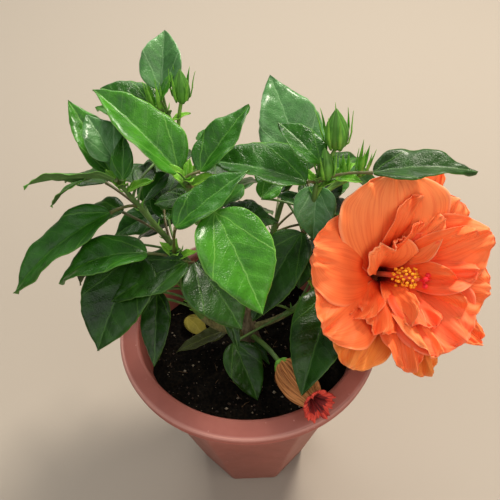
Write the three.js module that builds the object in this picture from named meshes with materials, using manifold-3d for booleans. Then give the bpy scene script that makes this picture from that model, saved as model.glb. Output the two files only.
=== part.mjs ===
// A double orange hibiscus growing in a terracotta-coloured plastic pot.
// Millimetres, +Z up. The origin is the middle of the pot's flat underside and -Y is the front.
import * as THREE from 'three';
import { mergeVertices } from 'three/addons/utils/BufferGeometryUtils.js';
import Module from 'manifold-3d';

const wasm = await Module();
wasm.setup();

// Clearance that touching pieces keep
const gap = 0.3;

// Pot: eight moulded panels that flare up to a round lip
const panels = 8;
const footRadius = 48.7;
const shoulderRadius = 94;
const shoulderHeight = 156;
const rimRadius = 100;
const rimTop = 169;
const mouthRadius = 84.5;
const collarHeight = 148;
const lipSides = 36;
const wall = 4.2;
const potFloor = 5;

// Soil: fills the pot to a gentle mound
const soilHeight = 135;
const soilMound = 3;

// Trunk: short, leaning a little to the left and to the back, flared where it leaves the soil
const trunkPath = [[1, 1, soilHeight + soilMound + gap], [-1, 2, 158], [-4, 5, 178], [-5, 7, 195]];
const trunkRadii = [10, 7.6, 6.8, 5.6];
const trunkSteps = 9;
const trunkSides = 10;

// Shoots: where each leaves the trunk, its tip, how steeply it starts, and its thickness at both ends.
// The lower part of a shoot is its bough, the upper part is the stem inside a mass of leaves.
const boughShare = 0.46;
const shootSteps = 5;
const shootSides = 6;
const shoots = {
  left: { root: [-6, 5, 168], tip: [-79, 8, 306], rise: 60, thick: [3.4, 1.5] },
  bud: { root: [-5, 7, 194], tip: [-47, 40, 338], rise: 66, thick: [3.2, 1.4] },
  centre: { root: [-6, 3, 182], tip: [-35, -8, 322], rise: 72, thick: [3.2, 1.5] },
  front: { root: [-4, -1, 158], tip: [-45, -30, 281], rise: 40, thick: [3.0, 1.5] },
  right: { root: [0, 5, 176], tip: [48, 8, 304], rise: 50, thick: [3.4, 1.6] },
  low: { root: [0, 2, 160], tip: [52, -6, 216], rise: 25, thick: [2.8, 1.6] },
  backLeft: { root: [-4, 8, 172], tip: [-46, 80, 262], rise: 50, thick: [3.0, 1.5] },
  backRight: { root: [-2, 7, 164], tip: [40, 80, 262], rise: 50, thick: [3.0, 1.5] },
};

// Leaves that show from the front, by shoot: place of the blade's foot, heading, rise, length, width,
// droop along the length, fold about the midrib, and roll, in millimetres and degrees
const shownLeaves = {
  left: [
    [-80, 2, 314, 175, -6, 62, 22, 30, 15, 50],
    [-93, 15, 307, 195, -25, 40, 18, 50, 15, 30],
    [-87, 22, 304, 128, 40, 55, 28, 12, 28, 0],
    [-81, 12, 322, 128, 38, 34, 27, 15, 18, 0],
    [-75, 0, 316, 88, 35, 29, 16, 10, 28, 0],
    [-86, -5, 293, 206, -28, 84, 34, 40, 20, 0],
    [-68, 22, 292, 84, 0, 26, 17, 15, 15, 0],
    [-70, 26, 274, 62, 2, 36, 20, 20, 25, 0],
    [-104, 10, 250, 225, -50, 34, 13, 35, 20, 0],
  ],
  bud: [
    [-56, 44, 336, 162, 18, 38, 30, 20, 15, -10],
    [-49, 43, 352, 84, 42, 39, 31, 20, 30, 0],
    [-50, 38, 348, 40, 50, 20, 8, 10, 25, 0],
    [-62, 28, 346, 147, -14, 40, 22, 15, 18, 0],
  ],
  centre: [
    [-40, 0, 320, 148, 36, 72, 42, 18, 32, 0],
    [-26, -5, 324, 48, 26, 53, 27, 10, 25, 0],
    [-36, 0, 299, 176, -14, 23, 20, 15, 10, 0],
    [-15, 10, 271, 4, -12, 40, 30, 30, 10, 0],
    [-17, -45, 327, 300, -38, 65, 46, 25, 15, 0],
    [-37, 12, 288, 225, 14, 24, 19, 10, 12, 0],
    [-36, 22, 288, 157, -34, 32, 16, 20, 15, 0],
  ],
  front: [
    [-39, -52, 322, 32, 20, 54, 26, 15, 20, 0],
    [-62, -30, 280, 190, -14, 64, 32, 70, 18, 0],
    [-33, -30, 270, 311, -34, 53, 44, 30, 12, 0],
    [-70, -25, 274, 244, -30, 66, 50, 25, 14, 0],
    [-37, -35, 276, 200, -16, 54, 36, 25, 14, 0],
    [-59, -35, 249, 266, -35, 49, 20, 15, 14, 0],
  ],
  right: [
    [41, 5, 304, 165, 6, 65, 46, 20, 28, 0],
    [41, 30, 292, 113, 42, 70, 48, 20, 12, 0],
    [49, 5, 319, 134, 21, 39, 26, 15, 22, 0],
    [83, 5, 310, 357, 0, 67, 31, 30, 20, 0],
    [48, 14, 293, 264, -52, 36, 30, 20, 20, 0],
    [12, 15, 283, 40, 20, 22, 20, 15, 15, 0],
    [39, 0, 264, 228, -40, 70, 38, 30, 15, 0],
    [60, 8, 303, 340, 6, 18, 11, 25, 30, 0],
    [62, 12, 301, 25, 30, 15, 9, 20, 30, 0],
    [41, 20, 273, 170, 15, 20, 14, 15, 15, 0],
    [41, 5, 236, 256, -45, 24, 17, 15, 10, 0],
  ],
  low: [
    [62, -12, 215, 248, -18, 80, 44, 30, 22, 0],
    [-16, -20, 218, 288, -38, 35, 12, 20, 20, 0],
    [-12, -16, 165, 295, -32, 47, 30, 20, 14, 0],
  ],
  backLeft: [],
  backRight: [],
};

// Leaves on the far side, dealt out along each shoot by a seeded rule inside the mass's own space
const spiral = 144;
const leafClearance = 7.5;
const tries = 400;
const hiddenLeaves = {
  left: { seed: 31, leaves: 5, from: 60, to: 175, centre: [-75, 45, 262], radii: [62, 58, 50] },
  bud: { seed: 83, leaves: 3, from: 20, to: 140, centre: [-40, 66, 282], radii: [48, 46, 42] },
  centre: { seed: 24, leaves: 3, from: 40, to: 140, centre: [-20, 30, 265], radii: [45, 50, 45] },
  front: { seed: 35, leaves: 4, from: 150, to: 260, centre: [-50, -25, 215], radii: [62, 52, 48] },
  right: { seed: 135, leaves: 6, from: 10, to: 120, centre: [46, 52, 252], radii: [58, 56, 46] },
  low: { seed: 23, leaves: 7, from: -70, to: 70, centre: [70, 20, 200], radii: [66, 74, 44] },
  backLeft: { seed: 123, leaves: 12, from: 30, to: 210, centre: [-52, 80, 215], radii: [80, 72, 62] },
  backRight: { seed: 70, leaves: 12, from: -30, to: 150, centre: [50, 80, 215], radii: [80, 72, 62] },
};

// Tufts of young leaves at the shoots' tips: how many and how long
const tufts = {
  left: { count: 4, length: 20 },
  bud: { count: 3, length: 14 },
  centre: { count: 5, length: 20 },
  front: { count: 4, length: 15 },
  right: { count: 3, length: 18 },
  low: { count: 3, length: 12 },
  backLeft: { count: 4, length: 18 },
  backRight: { count: 4, length: 18 },
};

// Flower buds by shoot: share of the shoot where the stalk starts, foot of the bud, its tip, its radius
// and the number of narrow bracts round it
const buds = {
  bud: [
    { from: 0.84, foot: [-37, 40, 346], tip: [-36, 40, 369], radius: 6, bracts: 6 },
    { from: 0.93, foot: [-53, 40, 338], tip: [-55, 40, 362], radius: 4, bracts: 5 },
  ],
  right: [
    { from: 0.93, foot: [60, 14, 325], tip: [58, 14, 354], radius: 8, bracts: 6 },
    { from: 0.86, foot: [54, 10, 303], tip: [52, 10, 328], radius: 6, bracts: 4 },
    { from: 0.84, foot: [67, 14, 300], tip: [66, 14, 318], radius: 3, bracts: 3 },
    { from: 0.86, foot: [77, 14, 301], tip: [80, 14, 324], radius: 4, bracts: 4 },
  ],
};

// Open bloom: place of its foot, direction of its axis, and its petals by turn about the axis,
// start along it, length, width, tilt from it at the root and at the tip, roll, ruffle and point
const bloomFoot = [91, 11, 208];
const bloomHeading = 288;
const bloomRise = 46;
const petalThickness = 1.3;
const throatProfile = [[0, 0], [6.5, 0], [15, 24], [0, 27]];
const columnStart = 18;
const columnBend = 36;
const columnEnd = [50, 15, -9];
const columnRadii = [2.6, 3.4];
const calyxProfile = [[0, -13], [3, -12], [8.5, -6], [8, -gap], [0, -gap]];
const bloomStalkRadii = [2.2, 1.9];
const petals = [
  [52, -7, 106, 34, 14, 92, 0, 2, 0.8],
  [226, -7, 96, 48, 14, 96, 0, 2, 0.0],
  [306, -7, 106, 34, 14, 90, 0, 2, 0.8],
  [270, -4, 98, 34, 14, 94, 0, 2, 0.1],
  [84, 7, 94, 82, 12, 84, 0, 2, 0.0],
  [152, 5, 91, 62, 12, 90, 0, 2, 0.0],
  [198, 0, 95, 58, 12, 88, 0, 2, 0.0],
  [258, 1, 94, 34, 12, 86, 20, 3, 0.5],
  [296, 5, 90, 60, 12, 82, 0, 2, 0.0],
  [334, 0, 92, 58, 12, 80, 0, 2, 0.0],
  [8, 5, 96, 58, 12, 82, 0, 2, 0.6],
  [34, -3, 94, 56, 12, 84, 0, 2, 0.0],
  [96, 18, 44, 40, 8, 40, 0, 4, 0.0],
  [52, 16, 56, 28, 20, 60, 55, 2, 0.2],
  [20, 18, 52, 32, 22, 62, 10, 3, 0.2],
  [232, 16, 60, 38, 25, 62, 10, 3, 0.3],
  [262, 20, 54, 30, 22, 52, 65, 4, 0.0],
  [288, 18, 60, 38, 22, 62, -15, 3, 0.2],
  [330, 18, 58, 34, 25, 62, 45, 4, 0.0],
];

// Wilted bloom: lies over the rim, closed and pleated, with its mouth open as a star.
// Its body swells and narrows by shares of its length and radius.
const wiltedFoot = [25, -40, 164.5];
const wiltedMouth = [45, -85, 184];
const wiltedRadius = 12;
const wiltedPleats = 10;
const wiltedPleatDepth = [1.04, 0.9];
const wiltedSwell = [[0, 0.5], [0.12, 0.8], [0.4, 1], [0.62, 0.92], [0.82, 0.62], [0.92, 0.55]];
const wiltedCalyx = [[0, -9], [2.6, -8], [6.6, -3], [6, -gap], [0, -gap]];
const wiltedStalkRadii = [2.2, 1.8];
const starLobes = 5;
const starRadius = [0.62, 1.12];
const starHeight = [0.98, 1.03];

const radians = THREE.MathUtils.degToRad;
const vector = (list) => new THREE.Vector3(...list);

// Seeded numbers between 0 and 1
function makeRandom(seed) {
  let state = seed;
  return () => {
    state = (state * 16807) % 2147483647;
    return state / 2147483647;
  };
}

function direction(heading, rise) {
  const h = radians(heading);
  const e = radians(rise);
  return new THREE.Vector3(Math.cos(e) * Math.cos(h), Math.cos(e) * Math.sin(h), Math.sin(e));
}

function smooth(low, high, value) {
  const share = THREE.MathUtils.clamp((value - low) / (high - low), 0, 1);
  return share * share * (3 - 2 * share);
}

function geometryFrom(points, faces) {
  const geometry = new THREE.BufferGeometry();
  const values = new Float32Array(points.length * 3);
  points.forEach((p, i) => p.toArray(values, i * 3));
  geometry.setAttribute('position', new THREE.BufferAttribute(values, 3));
  geometry.setIndex(faces);
  return geometry;
}

// A closed body through rings of equal count, with a fan over each end
function loft(rings) {
  const count = rings[0].length;
  const points = rings.flat();
  const faces = [];
  for (let i = 0; i + 1 < rings.length; i += 1) {
    for (let j = 0; j < count; j += 1) {
      const a = i * count + j;
      const b = i * count + ((j + 1) % count);
      faces.push(a, b, b + count, a, b + count, a + count);
    }
  }
  for (const end of [0, rings.length - 1]) {
    const middle = new THREE.Vector3();
    rings[end].forEach((p) => middle.addScaledVector(p, 1 / count));
    points.push(middle);
    for (let j = 0; j < count; j += 1) {
      const a = end * count + j;
      const b = end * count + ((j + 1) % count);
      if (end === 0) faces.push(b, a, points.length - 1);
      else faces.push(a, b, points.length - 1);
    }
  }
  return geometryFrom(points, faces);
}

// A tapering limb along a path
function limb(path, radii, sides) {
  const rings = [];
  const across = new THREE.Vector3(0.31, 0.93, 0.17);
  path.forEach((p, i) => {
    const before = path[Math.max(i - 1, 0)];
    const after = path[Math.min(i + 1, path.length - 1)];
    const along = after.clone().sub(before).normalize();
    across.addScaledVector(along, -across.dot(along)).normalize();
    const other = along.clone().cross(across);
    const ring = [];
    for (let j = 0; j < sides; j += 1) {
      const turn = (2 * Math.PI * j) / sides;
      ring.push(p.clone()
        .addScaledVector(across, radii[i] * Math.cos(turn))
        .addScaledVector(other, radii[i] * Math.sin(turn)));
    }
    rings.push(ring);
  });
  return loft(rings);
}

// A thin closed sheet over a grid of points, half its thickness to each side along each row's normal
function sheet(grid, normals, thicknesses) {
  const rows = grid.length;
  const columns = grid[0].length;
  const points = [];
  for (const side of [0.5, -0.5]) {
    grid.forEach((row, i) => row.forEach((p) => {
      points.push(p.clone().addScaledVector(normals[i], side * thicknesses[i]));
    }));
  }
  const faces = [];
  const below = rows * columns;
  for (let i = 0; i + 1 < rows; i += 1) {
    for (let j = 0; j + 1 < columns; j += 1) {
      const a = i * columns + j;
      const b = a + columns;
      faces.push(a, b, b + 1, a, b + 1, a + 1);
      faces.push(below + a, below + b + 1, below + b, below + a, below + a + 1, below + b + 1);
    }
  }
  const border = [];
  for (let j = 0; j + 1 < columns; j += 1) border.push(j);
  for (let i = 0; i + 1 < rows; i += 1) border.push(i * columns + columns - 1);
  for (let j = columns - 1; j > 0; j -= 1) border.push((rows - 1) * columns + j);
  for (let i = rows - 1; i > 0; i -= 1) border.push(i * columns);
  border.forEach((a, k) => {
    const b = border[(k + 1) % border.length];
    faces.push(a, b, below + b, a, below + b, below + a);
  });
  return geometryFrom(points, faces);
}

function solidOf(geometry) {
  const bare = geometry.clone();
  bare.deleteAttribute('normal');
  bare.deleteAttribute('uv');
  const merged = mergeVertices(bare, 1e-4);
  return new wasm.Manifold(new wasm.Mesh({
    numProp: 3,
    vertProperties: new Float32Array(merged.attributes.position.array),
    triVerts: new Uint32Array(merged.index.array),
  }));
}

// The largest body of a solid, with any sealed hollow filled and loose scraps dropped
function mainBody(solid) {
  return solid.decompose().reduce((best, piece) => (piece.volume() > best.volume() ? piece : best));
}

function fuse(geometries) {
  return mainBody(geometries.map(solidOf).reduce((sum, next) => sum.add(next)));
}

function geometryOf(solid) {
  const mesh = solid.getMesh();
  const geometry = new THREE.BufferGeometry();
  const values = new Float32Array(mesh.numVert * 3);
  for (let i = 0; i < mesh.numVert; i += 1) {
    for (let k = 0; k < 3; k += 1) values[i * 3 + k] = mesh.vertProperties[i * mesh.numProp + k];
  }
  geometry.setAttribute('position', new THREE.BufferAttribute(values, 3));
  geometry.setIndex(Array.from(mesh.triVerts));
  return geometry;
}

const finishes = {
  pot: { color: 0xb8655a, roughness: 0.55, metalness: 0 },
  soil: { color: 0x2b2622, roughness: 1, metalness: 0 },
  bark: { color: 0x6e6248, roughness: 0.9, metalness: 0 },
  stem: { color: 0x5d7a35, roughness: 0.6, metalness: 0 },
  leaf: { color: 0x2f6b2c, roughness: 0.45, metalness: 0 },
  petal: { color: 0xff7040, roughness: 0.6, metalness: 0 },
  wilted: { color: 0xd08050, roughness: 0.75, metalness: 0 },
};

const plant = new THREE.Group();

function addPiece(name, geometry, finish) {
  const mesh = new THREE.Mesh(geometry, new THREE.MeshStandardMaterial(finishes[finish]));
  mesh.name = name;
  plant.add(mesh);
}

// Pot
function polygonRing(radius, height, count, lead) {
  const ring = [];
  for (let j = 0; j < count; j += 1) {
    const turn = lead + (2 * Math.PI * j) / count;
    ring.push(new THREE.Vector3(radius * Math.cos(turn), radius * Math.sin(turn), height));
  }
  return ring;
}

function panelRing(radius, height) {
  return polygonRing(radius, height, panels, Math.PI / panels);
}

function panelRadius(height) {
  return footRadius + (shoulderRadius - footRadius) * (height / shoulderHeight);
}

function cavityRadius(height) {
  return panelRadius(height) - wall / Math.cos(Math.PI / panels);
}

function latheAbout(profile, segments) {
  const geometry = new THREE.LatheGeometry(profile.map(([r, z]) => new THREE.Vector2(r, z)), segments);
  return geometry.rotateX(Math.PI / 2);
}

function makePot() {
  const collar = cavityRadius(collarHeight) * Math.cos(Math.PI / panels) - gap;
  const lipFace = rimRadius - 1.6;
  const lip = [
    [collar, collarHeight], [collar + 3.6, collarHeight], [mouthRadius + 1.6, shoulderHeight],
    [lipFace, shoulderHeight + 2.6], [rimRadius, shoulderHeight + 4.4], [rimRadius, rimTop - 3.4],
    [lipFace, rimTop - 1], [lipFace - 4, rimTop], [mouthRadius + 1.5, rimTop - 0.6],
    [mouthRadius, rimTop - 2], [collar, collarHeight],
  ];
  const top = shoulderHeight + 3;
  const body = loft([panelRing(footRadius, 0), panelRing(panelRadius(top), top)]);
  const cavity = loft([
    panelRing(cavityRadius(potFloor), potFloor),
    panelRing(cavityRadius(top + 2), top + 2),
  ]);
  return solidOf(body).subtract(solidOf(cavity)).add(solidOf(latheAbout(lip, lipSides)));
}

function makeSoil() {
  const bottom = potFloor + gap;
  const clear = gap / Math.cos(Math.PI / panels);
  const rings = [
    panelRing(cavityRadius(bottom) - clear, bottom),
    panelRing(cavityRadius(soilHeight) - clear, soilHeight),
  ];
  const mound = [0.8, 0.5, 0.2];
  mound.forEach((share, i) => {
    const height = soilHeight + (soilMound * (i + 1)) / mound.length;
    rings.push(panelRing(cavityRadius(soilHeight) * share, height));
  });
  return loft(rings);
}

// Trunk and shoots
function curvePoints(list, count) {
  return new THREE.CatmullRomCurve3(list.map(vector)).getPoints(count);
}

function spread(values, count) {
  const steps = [];
  for (let i = 0; i <= count; i += 1) {
    const place = (i / count) * (values.length - 1);
    const k = Math.min(Math.floor(place), values.length - 2);
    steps.push(THREE.MathUtils.lerp(values[k], values[k + 1], place - k));
  }
  return steps;
}

function makeTrunk(clearance) {
  const radii = spread(trunkRadii, trunkSteps);
  const level = (p, i) => polygonRing(radii[i] + clearance, p.z, trunkSides, 0)
    .map((q) => q.add(new THREE.Vector3(p.x, p.y, 0)));
  return loft(curvePoints(trunkPath, trunkSteps).map(level));
}

function shootCurve(shoot) {
  const root = vector(shoot.root);
  const tip = vector(shoot.tip);
  const heading = THREE.MathUtils.radToDeg(Math.atan2(tip.y - root.y, tip.x - root.x));
  const reach = root.distanceTo(tip) * 0.5;
  const bend = root.clone().addScaledVector(direction(heading, shoot.rise), reach);
  return new THREE.QuadraticBezierCurve3(root, bend, tip);
}

function shootRadius(shoot, at) {
  return THREE.MathUtils.lerp(shoot.thick[0], shoot.thick[1], at);
}

function shootPiece(shoot, from, to, steps, sides) {
  const curve = shootCurve(shoot);
  const path = [];
  const radii = [];
  for (let i = 0; i <= steps; i += 1) {
    const at = THREE.MathUtils.lerp(from, to, i / steps);
    path.push(curve.getPoint(at));
    radii.push(shootRadius(shoot, at));
  }
  return limb(path, radii, sides);
}

// Leaves
function leafOutline(t) {
  const rise = 0.52;
  const fall = 0.98;
  const peak = rise / (rise + fall);
  const inside = Math.max(t, 0);
  return (inside ** rise * (1 - inside) ** fall) / (peak ** rise * (1 - peak) ** fall);
}

function leafGrid(row, stations, spans) {
  const [x, y, z, heading, rise, length, width, droop, fold, roll] = row;
  const left = direction(heading + 90, 0);
  const start = rise + droop / 2;
  const point = new THREE.Vector3(x, y, z);
  const grid = [];
  const normals = [];
  const sides = [];
  let last = 0;
  stations.forEach((t) => {
    const middle = direction(heading, start - (droop * (t + last)) / 2);
    point.addScaledVector(middle, length * (t - last));
    last = t;
    const along = direction(heading, start - droop * t);
    const up = along.clone().cross(left);
    const turn = radians(roll);
    const side = left.clone().multiplyScalar(Math.cos(turn)).addScaledVector(up, Math.sin(turn));
    const normal = up.clone().multiplyScalar(Math.cos(turn)).addScaledVector(left, -Math.sin(turn));
    const half = Math.max((leafOutline(t) * width) / 2, THREE.MathUtils.lerp(1.1, 0.5, t));
    const lift = half * Math.sin(radians(fold));
    const reach = half * Math.cos(radians(fold));
    grid.push(spans.map((u) => point.clone()
      .addScaledVector(side, u * reach)
      .addScaledVector(normal, Math.abs(u) * lift)));
    normals.push(normal);
    sides.push(side);
  });
  return { grid, normals, sides };
}

// Shares of a blade's length where its cross-sections stand
const leafStations = [0.12, 0.42, 0.78, 1];
const plainStations = [0.16, 0.58, 1];
const largeLeaf = 45;
const smallStations = [-0.05, 0.4, 1];
const sampleStations = [0, 0.12, 0.25, 0.4, 0.55, 0.7, 0.85, 1];
const stalkWidth = 2.4;
const stalkDepth = 2;

function bladeThickness(row) {
  return 0.5 + row[5] / 120;
}

// A young leaf of a tuft, rooted in the shoot's tip
function smallBlade(row) {
  const { grid, normals } = leafGrid(row, smallStations, [-1, 1]);
  return sheet(grid, normals, grid.map(() => bladeThickness(row)));
}

// A leaf with its stalk: a narrow thick strip up from the stem that widens into the thin blade
function stalkedBlade(shoot, row, full) {
  const { grid, normals, sides } = leafGrid(row, full ? leafStations : plainStations, [-1, 0, 1]);
  const thicknesses = grid.map(() => bladeThickness(row));
  const curve = stalkCurve(shoot, new THREE.Vector3(row[0], row[1], row[2]));
  const across = sides[0].clone();
  for (const at of full ? [1, 0.5, 0] : [1, 0]) {
    const along = curve.getTangent(at);
    across.addScaledVector(along, -across.dot(along)).normalize();
    const point = curve.getPoint(at);
    grid.unshift([-0.5, 0, 0.5].map((u) => point.clone().addScaledVector(across, u * stalkWidth)));
    normals.unshift(along.clone().cross(across));
    thicknesses.unshift(stalkDepth);
  }
  return sheet(grid, normals, thicknesses);
}

// A stalk that leaves a shoot at a share of its length and swings up to the foot of a leaf or bud
function stalkFrom(shoot, at, foot) {
  const curve = shootCurve(shoot);
  const root = curve.getPoint(at);
  const away = foot.clone().sub(root);
  const leave = curve.getTangent(at).multiplyScalar(0.4).addScaledVector(away.clone().normalize(), 0.6);
  const bend = root.clone().addScaledVector(leave, away.length() * 0.5);
  return new THREE.QuadraticBezierCurve3(root, bend, foot);
}

// A leaf's stalk leaves the stem near its foot and a little below it
function stalkCurve(shoot, foot) {
  const curve = shootCurve(shoot);
  let best = null;
  for (let i = 0; i <= 20; i += 1) {
    const at = THREE.MathUtils.lerp(boughShare + 0.08, 1, i / 20);
    const point = curve.getPoint(at);
    const away = foot.clone().sub(point);
    const run = Math.hypot(away.x, away.y);
    const cost = away.length() + 1.5 * Math.max(0, 0.25 * run - away.z);
    if (!best || cost < best.cost) best = { cost, at };
  }
  return stalkFrom(shoot, best.at, foot);
}

// Spots over a leaf's blade and along the free part of its stalk
function samplesOf(shoot, row) {
  const blade = leafGrid(row, sampleStations, [-1, -0.5, 0, 0.5, 1]).grid.flat();
  const stalk = stalkCurve(shoot, new THREE.Vector3(row[0], row[1], row[2])).getPoints(9).slice(4);
  return [...blade, ...stalk];
}

// Leaves on the far side, passed over where they would leave their space or touch a neighbour
function hiddenRows(shoot, rule, taken) {
  const random = makeRandom(rule.seed);
  const curve = shootCurve(shoot);
  const middle = vector(rule.centre);
  const radii = vector(rule.radii);
  const rows = [];
  for (let i = 0; i < tries && rows.length < rule.leaves; i += 1) {
    const at = THREE.MathUtils.lerp(boughShare + 0.1, 0.95, random());
    const turn = THREE.MathUtils.lerp(rule.from, rule.to, random());
    const stalk = 18 + 22 * random();
    const foot = curve.getPoint(at).addScaledVector(direction(turn, 30 - 40 * random()), stalk);
    const length = 44 + 24 * random();
    const heading = turn + 40 * (random() - 0.5);
    const rise = 10 - 50 * random();
    const row = [...foot.toArray(), heading, rise, length, length * 0.62, 30, 14, 20 * (random() - 0.5)];
    const spots = samplesOf(shoot, row);
    const inside = spots.every((p) => p.clone().sub(middle).divide(radii).length() < 1);
    if (inside && spots.every((p) => taken.every((q) => p.distanceTo(q) > leafClearance))) {
      rows.push(row);
      taken.push(...spots);
    }
  }
  return rows;
}

function tuftRows(shoot, tuft) {
  const curve = shootCurve(shoot);
  const tip = curve.getPoint(1);
  const axis = curve.getTangent(1);
  const rows = [];
  for (let i = 0; i < tuft.count; i += 1) {
    const size = tuft.length * (1 - (0.5 * i) / tuft.count);
    const rise = 25 + (45 * i) / tuft.count;
    const foot = tip.clone().addScaledVector(axis, -7 + (7 * i) / tuft.count)
      .addScaledVector(direction(spiral * i, 0), 0.9);
    rows.push([...foot.toArray(), spiral * i, rise, size, size * 0.5, 15, 25, 0]);
  }
  return rows;
}

// Shape of a bud as shares of its radius and length: up a bract, and up the hollow between two bracts
const bractLine = [[0.35, -0.04], [1.05, 0.12], [1.28, 0.42], [1.24, 0.72], [1.3, 0.98], [0.1, 1]];
const hollowLine = [[0.35, -0.04], [0.8, 0.1], [0.95, 0.36], [0.7, 0.66], [0.3, 0.86], [0.1, 1]];
const budStalkRadii = [1.3, 1.2];
const budStalkSteps = 3;

// Buds: a pointed body caged by narrow bracts, on a stalk
function budPieces(shoot, bud) {
  const foot = vector(bud.foot);
  const axis = vector(bud.tip).sub(foot);
  const length = axis.length();
  const upright = new THREE.Quaternion().setFromUnitVectors(new THREE.Vector3(0, 0, 1), axis.normalize());
  const rings = bractLine.map((ridge, k) => {
    const ring = [];
    for (let j = 0; j < bud.bracts * 2; j += 1) {
      const turn = (Math.PI * j) / bud.bracts;
      const [radius, height] = j % 2 ? hollowLine[k] : ridge;
      const spot = new THREE.Vector3(Math.cos(turn), Math.sin(turn), 0).multiplyScalar(radius * bud.radius);
      ring.push(spot.setZ(height * length).applyQuaternion(upright).add(foot));
    }
    return ring;
  });
  const path = stalkFrom(shoot, bud.from, foot).getPoints(budStalkSteps);
  return [loft(rings), limb(path, spread(budStalkRadii, budStalkSteps), 4)];
}

// Bloom
function bloomFrame() {
  const axis = direction(bloomHeading, bloomRise);
  const level = direction(bloomHeading + 90, 0);
  return { axis, level, upright: axis.clone().cross(level), foot: vector(bloomFoot) };
}

function petalOutline(t, point) {
  const body = Math.sin(Math.PI * t ** 1.6) ** 0.6 * ((0.45 + 0.55 * t) / (0.45 + 0.55 * 0.66));
  return body * (1 - point * THREE.MathUtils.clamp((t - 0.55) / 0.45, 0, 1) * 0.55);
}

const finePetal = { stations: [0.26, 0.52, 0.78, 0.97], spans: [-1, -0.4, 0.4, 1] };
const plainPetal = { stations: [0.26, 0.62, 0.97], spans: [-1, 0, 1] };
const largePetal = 45;
const petalSamples = 48;

function petalSheet(row) {
  const [turn, start, length, width, rootTilt, tipTilt, roll, ruffle, point] = row;
  const { axis, level, upright, foot } = bloomFrame();
  const phase = radians(turn);
  const out = level.clone().multiplyScalar(Math.cos(phase)).addScaledVector(upright, Math.sin(phase));
  const side = axis.clone().cross(out);
  const tiltAt = (t) => radians(rootTilt + (tipTilt - rootTilt) * t ** 1.2);
  const run = [4];
  const ahead = [start];
  for (let i = 1; i <= petalSamples; i += 1) {
    const tilt = tiltAt((i - 0.5) / petalSamples);
    run.push(run[i - 1] + (Math.sin(tilt) * length) / petalSamples);
    ahead.push(ahead[i - 1] + (Math.cos(tilt) * length) / petalSamples);
  }
  const grid = [];
  const normals = [];
  const { stations, spans } = width < largePetal ? plainPetal : finePetal;
  stations.forEach((t) => {
    const tilt = tiltAt(t);
    const normal = out.clone().multiplyScalar(-Math.cos(tilt)).addScaledVector(axis, Math.sin(tilt));
    const sample = Math.round(t * petalSamples);
    const far = run[sample];
    const half = Math.max((petalOutline(t, point) * width) / 2, 1.5);
    const middle = foot.clone().addScaledVector(axis, ahead[sample]);
    const flatness = smooth(0.25, 0.85, t);
    grid.push(spans.map((u) => {
      const offset = u * half;
      const angle = offset / Math.max(far, 6);
      const spot = (offset * 2) / width;
      const wave = ruffle * Math.sin(5 * Math.atan2(spot * 0.8, t - 0.45) + turn);
      const edge = Math.max(u * u, smooth(0.6, 1, t)) * smooth(0.25, 0.7, t);
      const round = out.clone().multiplyScalar(far * Math.cos(angle))
        .addScaledVector(side, far * Math.sin(angle));
      const flat = out.clone().multiplyScalar(far)
        .addScaledVector(side, offset * Math.cos(radians(roll)))
        .addScaledVector(normal, offset * Math.sin(radians(roll)));
      return middle.clone().add(round.lerp(flat, flatness)).addScaledVector(normal, wave * edge);
    }));
    normals.push(normal);
  });
  return sheet(grid, normals, grid.map(() => petalThickness));
}

const cupSides = 10;
const columnSteps = 6;
const bloomStalkSteps = 8;

// A cup turned about an axis from a profile of radius and height
function alongAxis(profile, foot, axis) {
  const turn = new THREE.Quaternion().setFromUnitVectors(new THREE.Vector3(0, 0, 1), axis);
  return latheAbout(profile, cupSides).applyQuaternion(turn).translate(foot.x, foot.y, foot.z);
}

function makeBloom() {
  const { axis, level, upright, foot } = bloomFrame();
  const throat = alongAxis(throatProfile, foot, axis);
  const [ahead, across, rise] = columnEnd;
  const column = new THREE.QuadraticBezierCurve3(
    foot.clone().addScaledVector(axis, columnStart),
    foot.clone().addScaledVector(axis, columnBend),
    foot.clone().addScaledVector(axis, ahead).addScaledVector(level, across).addScaledVector(upright, rise),
  );
  const pieces = [throat, ...petals.map(petalSheet)];
  pieces.push(limb(column.getPoints(columnSteps), spread(columnRadii, columnSteps), 6));
  return fuse(pieces);
}

function bloomStalkCurve() {
  const { axis, foot } = bloomFrame();
  const start = shootCurve(shoots.low).getPoint(boughShare - 0.02);
  const end = foot.clone().addScaledVector(axis, -9);
  return new THREE.QuadraticBezierCurve3(start, end.clone().addScaledVector(axis, -22), end);
}

function bloomCalyx() {
  const { axis, foot } = bloomFrame();
  return alongAxis(calyxProfile, foot, axis);
}

function makeBloomStalk() {
  const calyx = bloomCalyx();
  const path = bloomStalkCurve().getPoints(bloomStalkSteps);
  return solidOf(calyx).add(solidOf(limb(path, spread(bloomStalkRadii, bloomStalkSteps), 7)));
}

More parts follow.
